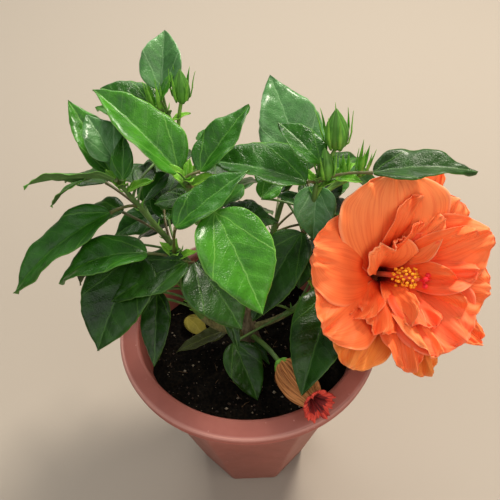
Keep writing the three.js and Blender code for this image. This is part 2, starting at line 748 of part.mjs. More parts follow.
// Wilted bloom
function makeWilted() {
  const foot = vector(wiltedFoot);
  const axis = vector(wiltedMouth).sub(foot);
  const length = axis.length();
  axis.normalize();
  const turn = new THREE.Quaternion().setFromUnitVectors(new THREE.Vector3(0, 0, 1), axis);
  const count = wiltedPleats * 2;
  const rings = wiltedSwell.map(([share, size]) => {
    const ring = [];
    for (let j = 0; j < count; j += 1) {
      const angle = (2 * Math.PI * j) / count;
      const radius = wiltedRadius * size * wiltedPleatDepth[j % 2];
      const spot = new THREE.Vector3(radius * Math.cos(angle), radius * Math.sin(angle), share * length);
      ring.push(spot.applyQuaternion(turn).add(foot));
    }
    return ring;
  });
  const star = [];
  for (let j = 0; j < count; j += 1) {
    const angle = (2 * Math.PI * j) / count;
    const lobe = 0.5 + 0.5 * Math.cos(starLobes * angle);
    const radius = wiltedRadius * THREE.MathUtils.lerp(...starRadius, lobe);
    const height = length * THREE.MathUtils.lerp(...starHeight, lobe);
    const spot = new THREE.Vector3(radius * Math.cos(angle), radius * Math.sin(angle), height);
    star.push(spot.applyQuaternion(turn).add(foot));
  }
  return loft([...rings, star]);
}

const wiltedStalkSteps = 7;

function makeWiltedStalk() {
  const foot = vector(wiltedFoot);
  const axis = vector(wiltedMouth).sub(foot).normalize();
  const calyx = alongAxis(wiltedCalyx, foot, axis);
  const start = curvePoints(trunkPath, trunkSteps)[2];
  const end = foot.clone().addScaledVector(axis, -7);
  const bend = start.clone().lerp(end, 0.5).add(new THREE.Vector3(0, -4, 16));
  const path = new THREE.QuadraticBezierCurve3(start, bend, end).getPoints(wiltedStalkSteps);
  return solidOf(calyx).add(solidOf(limb(path, spread(wiltedStalkRadii, wiltedStalkSteps), 7)));
}

// Assembly
addPiece('pot', geometryOf(makePot()), 'pot');
addPiece('soil', makeSoil(), 'soil');
addPiece('trunk', makeTrunk(0), 'bark');

const trunkSpace = solidOf(makeTrunk(gap));
for (const [name, shoot] of Object.entries(shoots)) {
  const limbSolid = solidOf(shootPiece(shoot, 0, boughShare, shootSteps, shootSides));
  addPiece(`bough_${name}`, geometryOf(mainBody(limbSolid.subtract(trunkSpace))), 'bark');
}

const bloomStalk = mainBody(makeBloomStalk().subtract(solidOf(shootPiece({
  ...shoots.low,
  thick: shoots.low.thick.map((r) => r + gap),
}, 0, 1, 12, 8))));
addPiece('bloom_stalk', geometryOf(bloomStalk), 'stem');
addPiece('bloom_open', geometryOf(makeBloom()), 'petal');
addPiece('wilted_stalk', geometryOf(mainBody(makeWiltedStalk().subtract(trunkSpace))), 'stem');
addPiece('bloom_wilted', makeWilted(), 'wilted');

const taken = [];
for (const [name, shoot] of Object.entries(shoots)) {
  taken.push(...shootCurve(shoot).getPoints(24));
  shownLeaves[name].forEach((row) => taken.push(...samplesOf(shoot, row)));
}
taken.push(...bloomStalkCurve().getPoints(10));
for (const geometry of [bloomCalyx(), ...petals.map(petalSheet)]) {
  const spots = geometry.attributes.position;
  for (let i = 0; i < spots.count; i += 1) taken.push(new THREE.Vector3().fromBufferAttribute(spots, i));
}

for (const [name, shoot] of Object.entries(shoots)) {
  const young = tuftRows(shoot, tufts[name]).map(smallBlade);
  const shown = shownLeaves[name].map((row) => stalkedBlade(shoot, row, row[5] > largeLeaf));
  const hidden = hiddenRows(shoot, hiddenLeaves[name], taken).map((row) => stalkedBlade(shoot, row, false));
  const budded = (buds[name] || []).flatMap((bud) => budPieces(shoot, bud));
  const stem = shootPiece(shoot, boughShare + 0.004, 1, shootSteps, shootSides);
  addPiece(`leaves_${name}`, geometryOf(fuse([stem, ...young, ...shown, ...hidden, ...budded])), 'leaf');
}

export default plant;
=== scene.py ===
import math
from functools import partial
import bpy
import numpy as np
from mathutils import Matrix, Vector, noise


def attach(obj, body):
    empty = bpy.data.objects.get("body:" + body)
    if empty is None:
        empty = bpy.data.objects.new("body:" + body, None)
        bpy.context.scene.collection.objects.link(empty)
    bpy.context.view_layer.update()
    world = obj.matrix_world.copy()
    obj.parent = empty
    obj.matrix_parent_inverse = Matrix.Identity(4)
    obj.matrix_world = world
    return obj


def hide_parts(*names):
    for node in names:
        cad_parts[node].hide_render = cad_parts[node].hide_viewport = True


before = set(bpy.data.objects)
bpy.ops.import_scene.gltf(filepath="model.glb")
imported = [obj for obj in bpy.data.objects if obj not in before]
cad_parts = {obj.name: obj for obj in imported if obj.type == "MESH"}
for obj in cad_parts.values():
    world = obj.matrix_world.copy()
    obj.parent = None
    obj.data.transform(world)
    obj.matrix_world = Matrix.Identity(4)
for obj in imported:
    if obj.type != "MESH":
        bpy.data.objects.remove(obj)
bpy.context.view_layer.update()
print("frame loaded")

mm = 0.001
gap = 0.3


# small helpers, all sizes in millimetres
def selectOnly(*pieces):
    bpy.ops.object.select_all(action="DESELECT")
    for piece in pieces:
        piece.select_set(True)
    if pieces:
        bpy.context.view_layer.objects.active = pieces[0]


def startEdit():
    bpy.ops.object.mode_set(mode="EDIT")
    bpy.ops.mesh.select_all(action="SELECT")


def leaveEdit():
    # with every face turned outwards
    bpy.ops.mesh.select_all(action="SELECT")
    bpy.ops.mesh.normals_make_consistent(inside=False)
    bpy.ops.object.mode_set(mode="OBJECT")


def extrudeBy(*steps):
    bpy.ops.mesh.extrude_region_move(TRANSFORM_OT_translate={"value": [step * mm for step in steps]})


def direction(heading, rise):
    h, e = math.radians(heading), math.radians(rise)
    return np.array([math.cos(e) * math.cos(h), math.cos(e) * math.sin(h), math.sin(e)])


def smooth(low, high, value):
    share = np.clip((value - low) / (high - low), 0, 1)
    return share * share * (3 - 2 * share)


def unit(v):
    return v / np.linalg.norm(v, axis=-1, keepdims=True)


def squared(v, axis):
    # the part of a vector that stands square to an axis
    return v - axis * (axis @ v)


def fullTurn(count):
    return np.linspace(0, 2 * math.pi, count, endpoint=False)


def paired(first, second):
    return np.stack(np.broadcast_arrays(first, second), -1)


def quadratic(start, bend, end, t):
    return (1 - t) ** 2 * start + 2 * t * (1 - t) * bend + t * t * end


def bezier(start, bend, end, count):
    return quadratic(start, bend, end, np.linspace(0, 1, count)[:, None])


def makeRandom(seed):
    state = [seed]

    def draw():
        state[0] = (state[0] * 16807) % 2147483647
        return state[0] / 2147483647

    return draw


# materials
def linear(code):
    parts = [int(code[i:i + 2], 16) / 255 for i in (1, 3, 5)]
    return tuple(c / 12.92 if c <= 0.04045 else ((c + 0.055) / 1.055) ** 2.4 for c in parts) + (1.0,)


def fillSockets(node, values):
    # a node or an output is linked, a colour code is made linear, and the rest is set as it is
    for name, value in values.items():
        socket = node.inputs[name]
        if isinstance(value, bpy.types.Node):
            value = value.outputs[0]
        if isinstance(value, bpy.types.NodeSocket):
            node.id_data.links.new(value, socket)
        else:
            socket.default_value = linear(value) if isinstance(value, str) else value


def addNode(tree, kind, settings={}):
    node = tree.nodes.new("ShaderNode" + kind)
    for name, value in settings.items():
        if isinstance(name, str) and hasattr(node, name):
            setattr(node, name, value)
        else:
            fillSockets(node, {name: value})
    return node


def newMaterial(name):
    material = bpy.data.materials.new(name)
    material.use_nodes = True
    return material, partial(addNode, material.node_tree)


def surface(material, settings):
    fillSockets(material.node_tree.nodes["Principled BSDF"], settings)
    return material


def colourSteps(add, factor, stops):
    ramp = add("ValToRGB", {"Fac": factor})
    while len(ramp.color_ramp.elements) < len(stops):
        ramp.color_ramp.elements.new(0.5)
    for element, (place, code) in zip(ramp.color_ramp.elements, stops):
        element.position = place
        element.color = linear(code)
    return ramp


def offMiddle(add, share):
    # how far a share from 0 to 1 is from the middle
    return add("Math", {"operation": "ABSOLUTE", 0: add("Math", {"operation": "SUBTRACT", 0: share, 1: 0.5})})


# pieces
def finishPiece(piece, nodes):
    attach(piece, "root")
    if nodes:
        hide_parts(*nodes)


class Bits:
    # gathers many small shapes into one mesh: points in mm, faces, a finish per face, places on the surface
    def __init__(self):
        self.points, self.faces, self.finishes, self.places, self.spans, self.count = [], [], [], [], [], 0

    def add(self, points, faces, finish, places=None, spans=None):
        points = np.asarray(points, float).reshape(-1, 3)
        faces = np.asarray(faces)
        blank = np.zeros((len(points), 2))
        self.points.append(points)
        self.faces.extend((faces + self.count).tolist())
        self.finishes.extend([finish] * len(faces) if isinstance(finish, int) else list(finish))
        self.places.append(blank if places is None else np.asarray(places, float).reshape(-1, 2))
        self.spans.append(blank if spans is None else np.asarray(spans, float).reshape(-1, 2))
        self.count += len(points)

    def build(self, name, materials):
        mesh = bpy.data.meshes.new(name)
        mesh.from_pydata((np.concatenate(self.points) * mm).tolist(), [], self.faces)
        for material in materials:
            mesh.materials.append(material)
        mesh.polygons.foreach_set("material_index", self.finishes)
        mesh.polygons.foreach_set("use_smooth", [True] * len(self.faces))
        corners = np.zeros(len(mesh.loops), int)
        mesh.loops.foreach_get("vertex_index", corners)
        for label, values in (("blade", self.places), ("span", self.spans)):
            layer = mesh.uv_layers.new(name=label)
            layer.data.foreach_set("uv", np.concatenate(values)[corners].ravel())
        mesh.update()
        piece = bpy.data.objects.new(name, mesh)
        bpy.context.scene.collection.objects.link(piece)
        return piece


def gridFaces(rows, columns, closed=False):
    span = columns if closed else columns - 1
    i, j = np.meshgrid(np.arange(rows - 1), np.arange(span), indexing="ij")
    a = i * columns + j
    b = i * columns + (j + 1) % columns
    return np.stack([a, b, b + columns, a + columns], -1).reshape(-1, 4)


def closedSheet(bits, grid, normal, thickness, finishes, places, spans):
    # a thin sheet with a front, a back and a rim
    rows, columns = grid.shape[:2]
    half = thickness / 2 * normal[:, None]
    front = gridFaces(rows, columns)
    below = rows * columns
    back = (front + below)[:, ::-1]
    index = np.arange(below).reshape(rows, columns)
    border = np.concatenate([index[0, :-1], index[:-1, -1], index[-1, :0:-1], index[:0:-1, 0]])
    after = np.roll(border, -1)
    rim = np.stack([border, border + below, after + below, after], -1)
    faces = np.concatenate([front, back, rim])
    looks = [finishes[0]] * len(front) + [finishes[1]] * len(back) + [finishes[0]] * len(rim)
    points = np.concatenate([(grid + half).reshape(-1, 3), (grid - half).reshape(-1, 3)])
    doubled = [np.concatenate([v.reshape(-1, 2)] * 2) for v in (places, spans)]
    bits.add(points, faces, looks, *doubled)


def tube(bits, path, radii, sides, finish):
    path = np.asarray(path, float)
    radii = np.broadcast_to(radii, len(path))
    along = unit(np.gradient(path, axis=0))
    across = np.array([0.31, 0.93, 0.17])
    rings = []
    turn = fullTurn(sides)
    for point, forward, radius in zip(path, along, radii):
        across = unit(squared(across, forward))
        other = np.cross(forward, across)
        rings.append(point + radius * (np.cos(turn)[:, None] * across + np.sin(turn)[:, None] * other))
    rings = np.array(rings)
    faces = gridFaces(len(path), sides, True)
    lengths = np.concatenate([[0], np.cumsum(np.linalg.norm(np.diff(path, axis=0), axis=1))])
    places = paired(turn[None] / (2 * math.pi), lengths[:, None] / 100)
    bits.add(rings, faces, finish, places)
    for ring, point, flip in ((rings[0], path[0], True), (rings[-1], path[-1], False)):
        fan = [[j, (j + 1) % sides, sides] for j in range(sides)]
        fan = [f[::-1] for f in fan] if flip else fan
        bits.add(np.concatenate([ring, [point]]), fan, finish)


# camera, light and floor
photoCamera = {"place": (1, -338, 593), "pitch": 45.5, "yaw": 0.35, "roll": -1.9, "lens": 50}


def aimCamera(settings):
    pitch, yaw, roll = (math.radians(settings[k]) for k in ("pitch", "yaw", "roll"))
    forward = Vector((math.sin(yaw) * math.cos(pitch), math.cos(yaw) * math.cos(pitch), -math.sin(pitch)))
    level = Vector((math.cos(yaw), -math.sin(yaw), 0))
    upright = level.cross(forward)
    right = math.cos(roll) * level + math.sin(roll) * upright
    up = math.cos(roll) * upright - math.sin(roll) * level
    bpy.ops.object.camera_add()
    camera = bpy.context.object
    camera.data.lens = settings["lens"]
    camera.data.sensor_width = 36
    camera.data.clip_start = 0.01
    turned = Matrix((right, up, -forward)).transposed().to_4x4()
    camera.matrix_world = Matrix.Translation(Vector(settings["place"]) * mm) @ turned
    bpy.context.scene.camera = camera


aimCamera(photoCamera)
bpy.context.scene.view_settings.view_transform = "Standard"

studioLights = {
    "sun": {"place": (0.75, 0.85, 1.75), "size": 0.45, "energy": 50, "colour": "#FFF6E8"},
    "fill": {"place": (-0.9, -1.1, 1.5), "size": 1.8, "energy": 12, "colour": "#FFFFFF"},
    "front": {"place": (1.0, -0.9, 1.45), "size": 0.9, "energy": 6.5, "colour": "#FFF8F0"},
    "sheen": {"place": (-0.35, 1.5, 1.6), "size": 1.1, "energy": 22, "colour": "#FFFDF6"},
    "bounce": {"place": (0.85, -1.15, 0.35), "size": 0.7, "energy": 4, "colour": "#FFEEDC"},
}
for name, light in studioLights.items():
    bpy.ops.object.light_add(type="AREA", location=light["place"])
    lamp = bpy.context.object
    lamp.name = "light_" + name
    lamp.data.size = light["size"]
    lamp.data.energy = light["energy"]
    lamp.data.color = linear(light["colour"])[:3]
    lamp.rotation_euler = (Vector((0, 0, 0.22)) - lamp.location).to_track_quat("-Z", "Y").to_euler()

world = bpy.data.worlds.new("studio")
world.use_nodes = True
fillSockets(world.node_tree.nodes["Background"], {"Color": "#F2F1EC", "Strength": 0.32})
bpy.context.scene.world = world

selectOnly()
bpy.ops.mesh.primitive_plane_add(size=12, location=(0, 0, -0.0004))
floor = bpy.context.object
floor.name = "floor"
studioFloor, _ = newMaterial("studioFloor")
floor.data.materials.append(surface(studioFloor, {"Base Color": "#9C9286", "Roughness": 0.9}))
print("camera and studio ready")

# pot
potSettings = {
    "panels": 8, "footRadius": 48.7, "shoulderRadius": 94, "shoulderHeight": 156, "wall": 4.2, "floor": 5,
    "rimRadius": 100, "rimTop": 169, "mouthRadius": 84.5, "collarHeight": 148, "edgeBevel": 2.0,
    "footBevel": 1.6, "lipSteps": 96,
}
halfPanel = math.pi / potSettings["panels"]


def panelRadius(height):
    p = potSettings
    return p["footRadius"] + (p["shoulderRadius"] - p["footRadius"]) * height / p["shoulderHeight"]


def cavityRadius(height):
    return panelRadius(height) - potSettings["wall"] / math.cos(halfPanel)


def editSelect(piece, kind, test):
    # selects the faces or edges whose corners pass the test, in edit mode
    bpy.ops.object.mode_set(mode="OBJECT")
    mesh = piece.data
    for group in (mesh.vertices, mesh.edges, mesh.polygons):
        group.foreach_set("select", [False] * len(group))
    for item in getattr(mesh, kind):
        item.select = test([mesh.vertices[v].co / mm for v in item.vertices])
    bpy.ops.object.mode_set(mode="EDIT")
    bpy.ops.mesh.select_mode(type="EDGE" if kind == "edges" else "FACE")


def applyPlace(piece):
    selectOnly(piece)
    bpy.ops.object.transform_apply(location=True, rotation=True, scale=True)


def makePotBody():
    p = potSettings
    top = p["shoulderHeight"] + 3
    selectOnly()
    bpy.ops.mesh.primitive_cone_add(
        vertices=p["panels"], radius1=p["footRadius"] * mm, radius2=panelRadius(top) * mm,
        depth=top * mm, location=(0, 0, top / 2 * mm), rotation=(0, 0, halfPanel))
    body = bpy.context.object
    applyPlace(body)
    # open the top and sink the cavity
    editSelect(body, "polygons", lambda s: min(v.z for v in s) > top - 1)
    bpy.ops.mesh.inset(thickness=p["wall"] * mm)
    extrudeBy(0, 0, p["floor"] - top)
    shrink = cavityRadius(p["floor"]) / (panelRadius(top) - p["wall"] / math.cos(halfPanel))
    bpy.ops.transform.resize(value=(shrink, shrink, 1))

    # round the upright outer edges between the panels, then the foot
    def upright(s):
        tall = abs(s[0].z - s[1].z) > top / 2
        return tall and min(math.hypot(v.x, v.y) for v in s) > p["footRadius"] - 1

    editSelect(body, "edges", upright)
    bpy.ops.mesh.bevel(offset=p["edgeBevel"] * mm, segments=4, affect="EDGES")
    editSelect(body, "edges", lambda s: max(v.z for v in s) < 0.5)
    bpy.ops.mesh.bevel(offset=p["footBevel"] * mm, segments=3, affect="EDGES")
    leaveEdit()
    return body


def makePotLip():
    p = potSettings
    collar = cavityRadius(p["collarHeight"]) * math.cos(halfPanel) - gap
    rim, top, mouth = p["rimRadius"], p["rimTop"], p["mouthRadius"]
    profile = [
        (collar, 148), (collar + 3.6, 148), (mouth + 1.6, 155.5), (rim - 5.4, 156), (rim - 2.6, 156.4),
        (rim - 1.2, 157.6), (rim - 0.9, 159), (rim - 1.3, 160.3), (rim - 1.7, 160.8), (rim - 0.7, 161.3),
        (rim - 0.1, 162.2), (rim, 163.4), (rim - 0.4, 164.5), (rim - 1.3, 165.2), (rim - 2.2, 165.3),
        (rim - 3, 165.8), (rim - 6.5, 167.2), (rim - 10, 168.4), (mouth + 3, top), (mouth + 1.4, top - 0.3),
        (mouth + 0.4, top - 1.2), (mouth, top - 2.6), (mouth - 2.2, 158), (collar, 148),
    ]
    selectOnly()
    bpy.ops.mesh.primitive_plane_add(size=mm, location=(profile[0][0] * mm, 0, profile[0][1] * mm))
    lip = bpy.context.object
    startEdit()
    bpy.ops.mesh.select_mode(type="VERT")
    bpy.ops.mesh.merge(type="CENTER")
    for (r0, z0), (r1, z1) in zip(profile, profile[1:]):
        extrudeBy(r1 - r0, 0, z1 - z0)
    bpy.ops.mesh.select_all(action="SELECT")
    bpy.ops.mesh.spin(steps=p["lipSteps"], angle=2 * math.pi, center=(0, 0, 0), axis=(0, 0, 1))
    bpy.ops.mesh.select_all(action="SELECT")
    bpy.ops.mesh.remove_doubles(threshold=0.05 * mm)
    leaveEdit()
    applyPlace(lip)
    return lip


# moulded polypropylene: dyed terracotta pink, satin and scuffed, with a painted highlight along the lip's
# outer edge, darker towards the bottom
def potPlastic():
    material, add = newMaterial("mouldedPolypropylene")
    place = add("TexCoord").outputs["Object"]
    cloudy = add("TexNoise", {"Vector": place, "Scale": 14, "Detail": 5, "Roughness": 0.62})
    body = colourSteps(add, cloudy, [(0.3, "#8E4C42"), (0.52, "#A0584C"), (0.75, "#AE685C")])
    height = add("SeparateXYZ", {"Vector": place}).outputs["Z"]
    fineMottle = add("TexNoise", {"Vector": place, "Scale": 60, "Detail": 6, "Roughness": 0.7})
    # darker towards the bottom: a fine noise, stronger lower down, mixes in a darker brown
    low = add("MapRange", {"Value": height, "From Min": 0.15, "From Max": 0.0, "To Min": 0.1, "To Max": 0.7})
    darkerLowDown = add("Math", {"operation": "MULTIPLY", 0: fineMottle, 1: low})
    darkenedLowDown = add("MixRGB", {"Fac": darkerLowDown, "Color1": body, "Color2": "#6E4A38"})
    speck = add("TexVoronoi", {"Vector": place, "Scale": 130})
    scuff = add("MapRange", {"Value": speck, "From Min": 0.1, "From Max": 0.06, "To Max": 0.5})
    worn = add("MixRGB", {"Fac": scuff, "Color1": darkenedLowDown, "Color2": "#C88F84"})
    # a painted highlight: a pale band along the lip's outer edge, standing in for the thin line of light that
    # catches it
    level = add("VectorMath", {"operation": "MULTIPLY", 0: place, 1: (1, 1, 0)})
    radius = add("VectorMath", {"operation": "LENGTH", 0: level}).outputs["Value"]
    outer = add("MapRange", {"Value": radius, "From Min": 0.0966, "From Max": 0.0982})
    high = add("MapRange", {"Value": height, "From Min": 0.1632, "From Max": 0.1650, "To Max": 0.55})
    edge = add("Math", {"operation": "MULTIPLY", 0: outer, 1: high})
    paintedRimHighlight = add("MixRGB", {"Fac": edge, "Color1": worn, "Color2": "#D09A8E"})
    rough = add("MapRange", {"Value": fineMottle, "To Min": 0.42, "To Max": 0.66})
    bump = add("Bump", {"Height": fineMottle, "Strength": 0.25, "Distance": 0.0004})
    return surface(material, {"Base Color": paintedRimHighlight, "IOR": 1.49, "Roughness": rough, "Normal": bump})


plastic = potPlastic()
for make, name in ((makePotBody, "pot_body"), (makePotLip, "pot_lip")):
    piece = make()
    piece.name = name
    piece.data.materials.append(plastic)
    selectOnly(piece)
    bpy.ops.object.shade_smooth_by_angle(angle=math.radians(24))
    finishPiece(piece, ["pot"])
print("pot made")

# soil
soilSettings = {
    "height": 135, "radius": 77, "mound": 3, "clods": 2.2, "cuts": 54, "grains": 520, "straws": 46,
    "reach": 74, "seed": 12,
}


def soilLevel(x, y):
    far = math.hypot(x, y) / soilSettings["radius"]
    rise = soilSettings["mound"] * (1 - min(far, 1) ** 1.5)
    rough = noise.fractal(Vector((x, y, 3)) / 9, 0.9, 2.1, 5) + 0.5 * noise.noise(Vector((x, y, 8)) / 2.4)
    return soilSettings["height"] + rise + soilSettings["clods"] * rough * smooth(1.02, 0.9, far)


def makeSoil():
    s = soilSettings
    rim = cavityRadius(s["height"]) - gap / math.cos(halfPanel)
    selectOnly()
    bpy.ops.mesh.primitive_circle_add(
        vertices=potSettings["panels"], radius=rim * mm, fill_type="TRIFAN",
        location=(0, 0, s["height"] * mm), rotation=(0, 0, halfPanel))
    soil = bpy.context.object
    applyPlace(soil)
    startEdit()
    bpy.ops.mesh.subdivide(number_cuts=s["cuts"])
    bpy.ops.mesh.region_to_loop()
    bottom = potSettings["floor"] + gap
    low = cavityRadius(bottom) - gap / math.cos(halfPanel)
    extrudeBy(0, 0, bottom - s["height"])
    bpy.ops.transform.resize(value=(low / rim, low / rim, 1))
    bpy.ops.mesh.edge_face_add()
    leaveEdit()
    for vertex in soil.data.vertices:
        x, y, z = vertex.co / mm
        if z > s["height"] - 1 and not onWall(x, y, rim):
            vertex.co.z = soilLevel(x, y) * mm
    soil.data.shade_smooth()
    return soil


def onWall(x, y, rim):
    side = rim * math.cos(halfPanel)
    return max(abs(x * math.cos(a) + y * math.sin(a)) for a in np.arange(4) * math.pi / 4) > side - 0.2


# potting compost: black-brown peat, damp and matt, with crumbs of bark and grit; its colours are darkened
# further by painted shade from the leaves above
def compostMaterial():
    material, add = newMaterial("pottingCompost")
    place = add("TexCoord").outputs["Object"]
    crumbs = add("TexVoronoi", {"Vector": place, "Scale": 420})
    clods = add("TexNoise", {"Vector": place, "Scale": 90, "Detail": 8, "Roughness": 0.7})
    shade = add("Math", {"operation": "MULTIPLY", 0: clods, 1: crumbs})
    # the darkest steps go near black: the peat's own dark brown with painted shade from the leaves laid into
    # it
    colour = colourSteps(add, shade, [(0.05, "#050403"), (0.25, "#0D0A07"), (0.5, "#1E1810")])
    bump = add("Bump", {"Height": shade, "Strength": 0.8, "Distance": 0.0012})
    return surface(material, {
        "Base Color": colour, "Roughness": 0.95, "Specular IOR Level": 0.1, "Normal": bump})


def plainMaterial(name, code, roughness, mottle, scale):
    # one colour with a little mottling and a faint relief
    material, add = newMaterial(name)
    place = add("TexCoord").outputs["Object"]
    patches = add("TexNoise", {"Vector": place, "Scale": scale, "Detail": 4})
    colour = colourSteps(add, patches, [(0.3, mottle), (0.6, code)])
    bump = add("Bump", {"Height": patches, "Strength": 0.3, "Distance": 0.0003})
    return surface(material, {"Base Color": colour, "Roughness": roughness, "Normal": bump})


def scatter(draw, reach):
    far = reach * math.sqrt(draw())
    turn = 2 * math.pi * draw()
    return far * math.cos(turn), far * math.sin(turn)


def makeGrit():
    s = soilSettings
    draw = makeRandom(s["seed"])
    corners = np.array([(1, 0, 0), (-1, 0, 0), (0, 1, 0), (0, -1, 0), (0, 0, 1), (0, 0, -1)], float)
    faces = [(0, 2, 4), (2, 1, 4), (1, 3, 4), (3, 0, 4), (2, 0, 5), (1, 2, 5), (3, 1, 5), (0, 3, 5)]
    bits = Bits()
    for _ in range(s["grains"]):
        x, y = scatter(draw, s["reach"])
        size = 0.35 + 1.1 * draw() ** 3
        shape = corners * [size * (0.7 + 0.6 * draw()) for _ in range(3)]
        bits.add(shape + [x, y, soilLevel(x, y) + size * 0.3], faces, int(draw() * 3))
    for _ in range(s["straws"]):
        x, y = scatter(draw, s["reach"] - 4)
        lie = 2 * math.pi * draw()
        reach = 2 + 6 * draw()
        ends = [(x + reach * k * math.cos(lie), y + reach * k * math.sin(lie)) for k in (-0.5, 0, 0.5)]
        path = [(a, b, soilLevel(a, b) + 0.5) for a, b in ends]
        if max(math.hypot(a, b) for a, b in ends) < s["reach"] + 1:
            tube(bits, path, [0.15, 0.28, 0.12], 5, 3)
    return bits.build("soil_crumbs", [
        plainMaterial("barkCrumb", "#4A382B", 0.9, "#2C211A", 300),
        plainMaterial("peatCrumb", "#241C17", 0.95, "#15100D", 300),
        plainMaterial("paleGrit", "#8F8470", 0.85, "#6D6353", 300),
        plainMaterial("dryStraw", "#6B5234", 0.85, "#46351F", 300),
    ])


soil = makeSoil()
soil.name = "soil_surface"
soil.data.materials.append(compostMaterial())
finishPiece(soil, ["soil"])
finishPiece(makeGrit(), [])
print("soil made")

# trunk and boughs
trunkSettings = {
    "path": [(1, 1, 138.3), (-1, 2, 158), (-4, 5, 178), (-5, 7, 195)], "radii": [10, 7.6, 6.8, 5.6],
    "relief": 0.42, "grain": 2.6, "smoothness": 16, "rings": 110,
}
boughSettings = {"relief": 0.16, "grain": 1.8, "smoothness": 10, "rings": 60}
boughShare = 0.46
shoots = {
    "left": {"root": (-6, 5, 168), "tip": (-79, 8, 306), "rise": 60, "thick": (3.4, 1.5)},
    "bud": {"root": (-5, 7, 194), "tip": (-47, 40, 338), "rise": 66, "thick": (3.2, 1.4)},
    "centre": {"root": (-6, 3, 182), "tip": (-35, -8, 322), "rise": 72, "thick": (3.2, 1.5)},
    "front": {"root": (-4, -1, 158), "tip": (-45, -30, 281), "rise": 40, "thick": (3.0, 1.5)},
    "right": {"root": (0, 5, 176), "tip": (48, 8, 304), "rise": 50, "thick": (3.4, 1.6)},
    "low": {"root": (0, 2, 160), "tip": (52, -6, 216), "rise": 25, "thick": (2.8, 1.6)},
    "backLeft": {"root": (-4, 8, 172), "tip": (-46, 80, 262), "rise": 50, "thick": (3.0, 1.5)},
    "backRight": {"root": (-2, 7, 164), "tip": (40, 80, 262), "rise": 50, "thick": (3.0, 1.5)},
}


def shootAt(shoot, at):
    root, tip = np.array(shoot["root"], float), np.array(shoot["tip"], float)
    heading = math.degrees(math.atan2(tip[1] - root[1], tip[0] - root[0]))
    bend = root + direction(heading, shoot["rise"]) * np.linalg.norm(tip - root) * 0.5
    t = np.asarray(at, float)[..., None]
    return quadratic(root, bend, tip, t), unit(2 * (1 - t) * (bend - root) + 2 * t * (tip - bend))


def shootRadius(shoot, at):
    low, high = shoot["thick"]
    return low + (high - low) * at


def limbCurve(name, places, radii, settings):
    # a branch drawn as a curve with a thickness at each point, then made a mesh
    selectOnly()
    bpy.ops.curve.primitive_nurbs_path_add()
    limb = bpy.context.object
    limb.name = name
    spline = limb.data.splines[0]
    spline.type = "POLY"
    spline.points.add(len(places) - len(spline.points))
    for point, place, radius in zip(spline.points, places, radii):
        point.co = (*(np.asarray(place) * mm), 1)
        point.radius = radius
    limb.data.bevel_depth = mm
    limb.data.bevel_resolution = settings["smoothness"]
    limb.data.use_fill_caps = True
    limb.data.twist_mode = "MINIMUM"
    bpy.ops.object.convert(target="MESH")
    limb = bpy.context.object
    # furrows that run along the limb, and warts
    mesh, depth, grain = limb.data, settings["relief"], settings["grain"]
    normals = [vertex.normal.copy() for vertex in mesh.vertices]
    for vertex, normal in zip(mesh.vertices, normals):
        p = vertex.co / mm
        furrow = noise.fractal(Vector((p.x / grain, p.y / grain, p.z / (grain * 4))), 0.8, 2.1, 4)
        wart = max(0.0, noise.noise(Vector((p.x, p.y, p.z * 0.8)) / 2.1) - 0.35) * 1.6
        vertex.co += normal * (depth * (furrow * 0.8 + wart)) * mm
    mesh.shade_smooth()
    return limb


def trunkPlaces():
    # the trunk's own curve through its four named points
    points = np.array(trunkSettings["path"], float)
    ghosts = np.concatenate([[2 * points[0] - points[1]], points, [2 * points[-1] - points[-2]]])
    places = []
    ats = np.linspace(0, 3, trunkSettings["rings"])
    for at in ats:
        k = min(int(at), 2)
        t = at - k
        a, b, c, d = ghosts[k:k + 4]
        bend, swing = 2 * a - 5 * b + 4 * c - d, 3 * b - a - 3 * c + d
        places.append(0.5 * (2 * b + (c - a) * t + bend * t * t + swing * t ** 3))
    return np.array(places), np.interp(ats, range(4), trunkSettings["radii"])


# bark of a young hibiscus: grey-brown and fissured low down, greener and smoother above
def barkMaterial(name, dark, mid, pale, grain):
    material, add = newMaterial(name)
    place = add("TexCoord").outputs["Object"]
    stretched = add("Mapping", {"Vector": place, "Scale": (1, 1, 0.25)})
    fissures = add("TexNoise", {"Vector": stretched, "Scale": grain, "Detail": 7, "Roughness": 0.65})
    spots = add("TexVoronoi", {"Vector": place, "Scale": grain * 0.8})
    corky = add("MapRange", {"Value": spots, "From Min": 0.16, "From Max": 0.08})
    colour = colourSteps(add, fissures, [(0.32, dark), (0.5, mid), (0.7, pale)])
    mixed = add("MixRGB", {"Fac": corky, "Color1": colour, "Color2": pale})
    bump = add("Bump", {"Height": fissures, "Strength": 0.6, "Distance": 0.0006})
    return surface(material, {"Base Color": mixed, "Roughness": 0.85, "Normal": bump})


places, radii = trunkPlaces()
trunk = limbCurve("trunk_bark", places, radii, trunkSettings)
for vertex in trunk.data.vertices:
    vertex.co.z = max(vertex.co.z, trunkSettings["path"][0][2] * mm)
trunk.data.materials.append(barkMaterial("fissuredBark", "#3E3427", "#6E6248", "#8D8268", 420))
finishPiece(trunk, ["trunk"])

limbs = []
for name, shoot in shoots.items():
    steps = np.linspace(0, boughShare, boughSettings["rings"])
    places, _ = shootAt(shoot, steps)
    limbs.append(limbCurve("bough_bark_" + name, places, shootRadius(shoot, steps), boughSettings))
selectOnly(*limbs)
bpy.ops.object.join()
boughs = bpy.context.object
boughs.name = "boughs_bark"
boughs.data.materials.append(barkMaterial("youngBark", "#4A4A2C", "#6B6B3E", "#8C8656", 520))
finishPiece(boughs, ["bough_" + name for name in shoots])
print("trunk and boughs made")
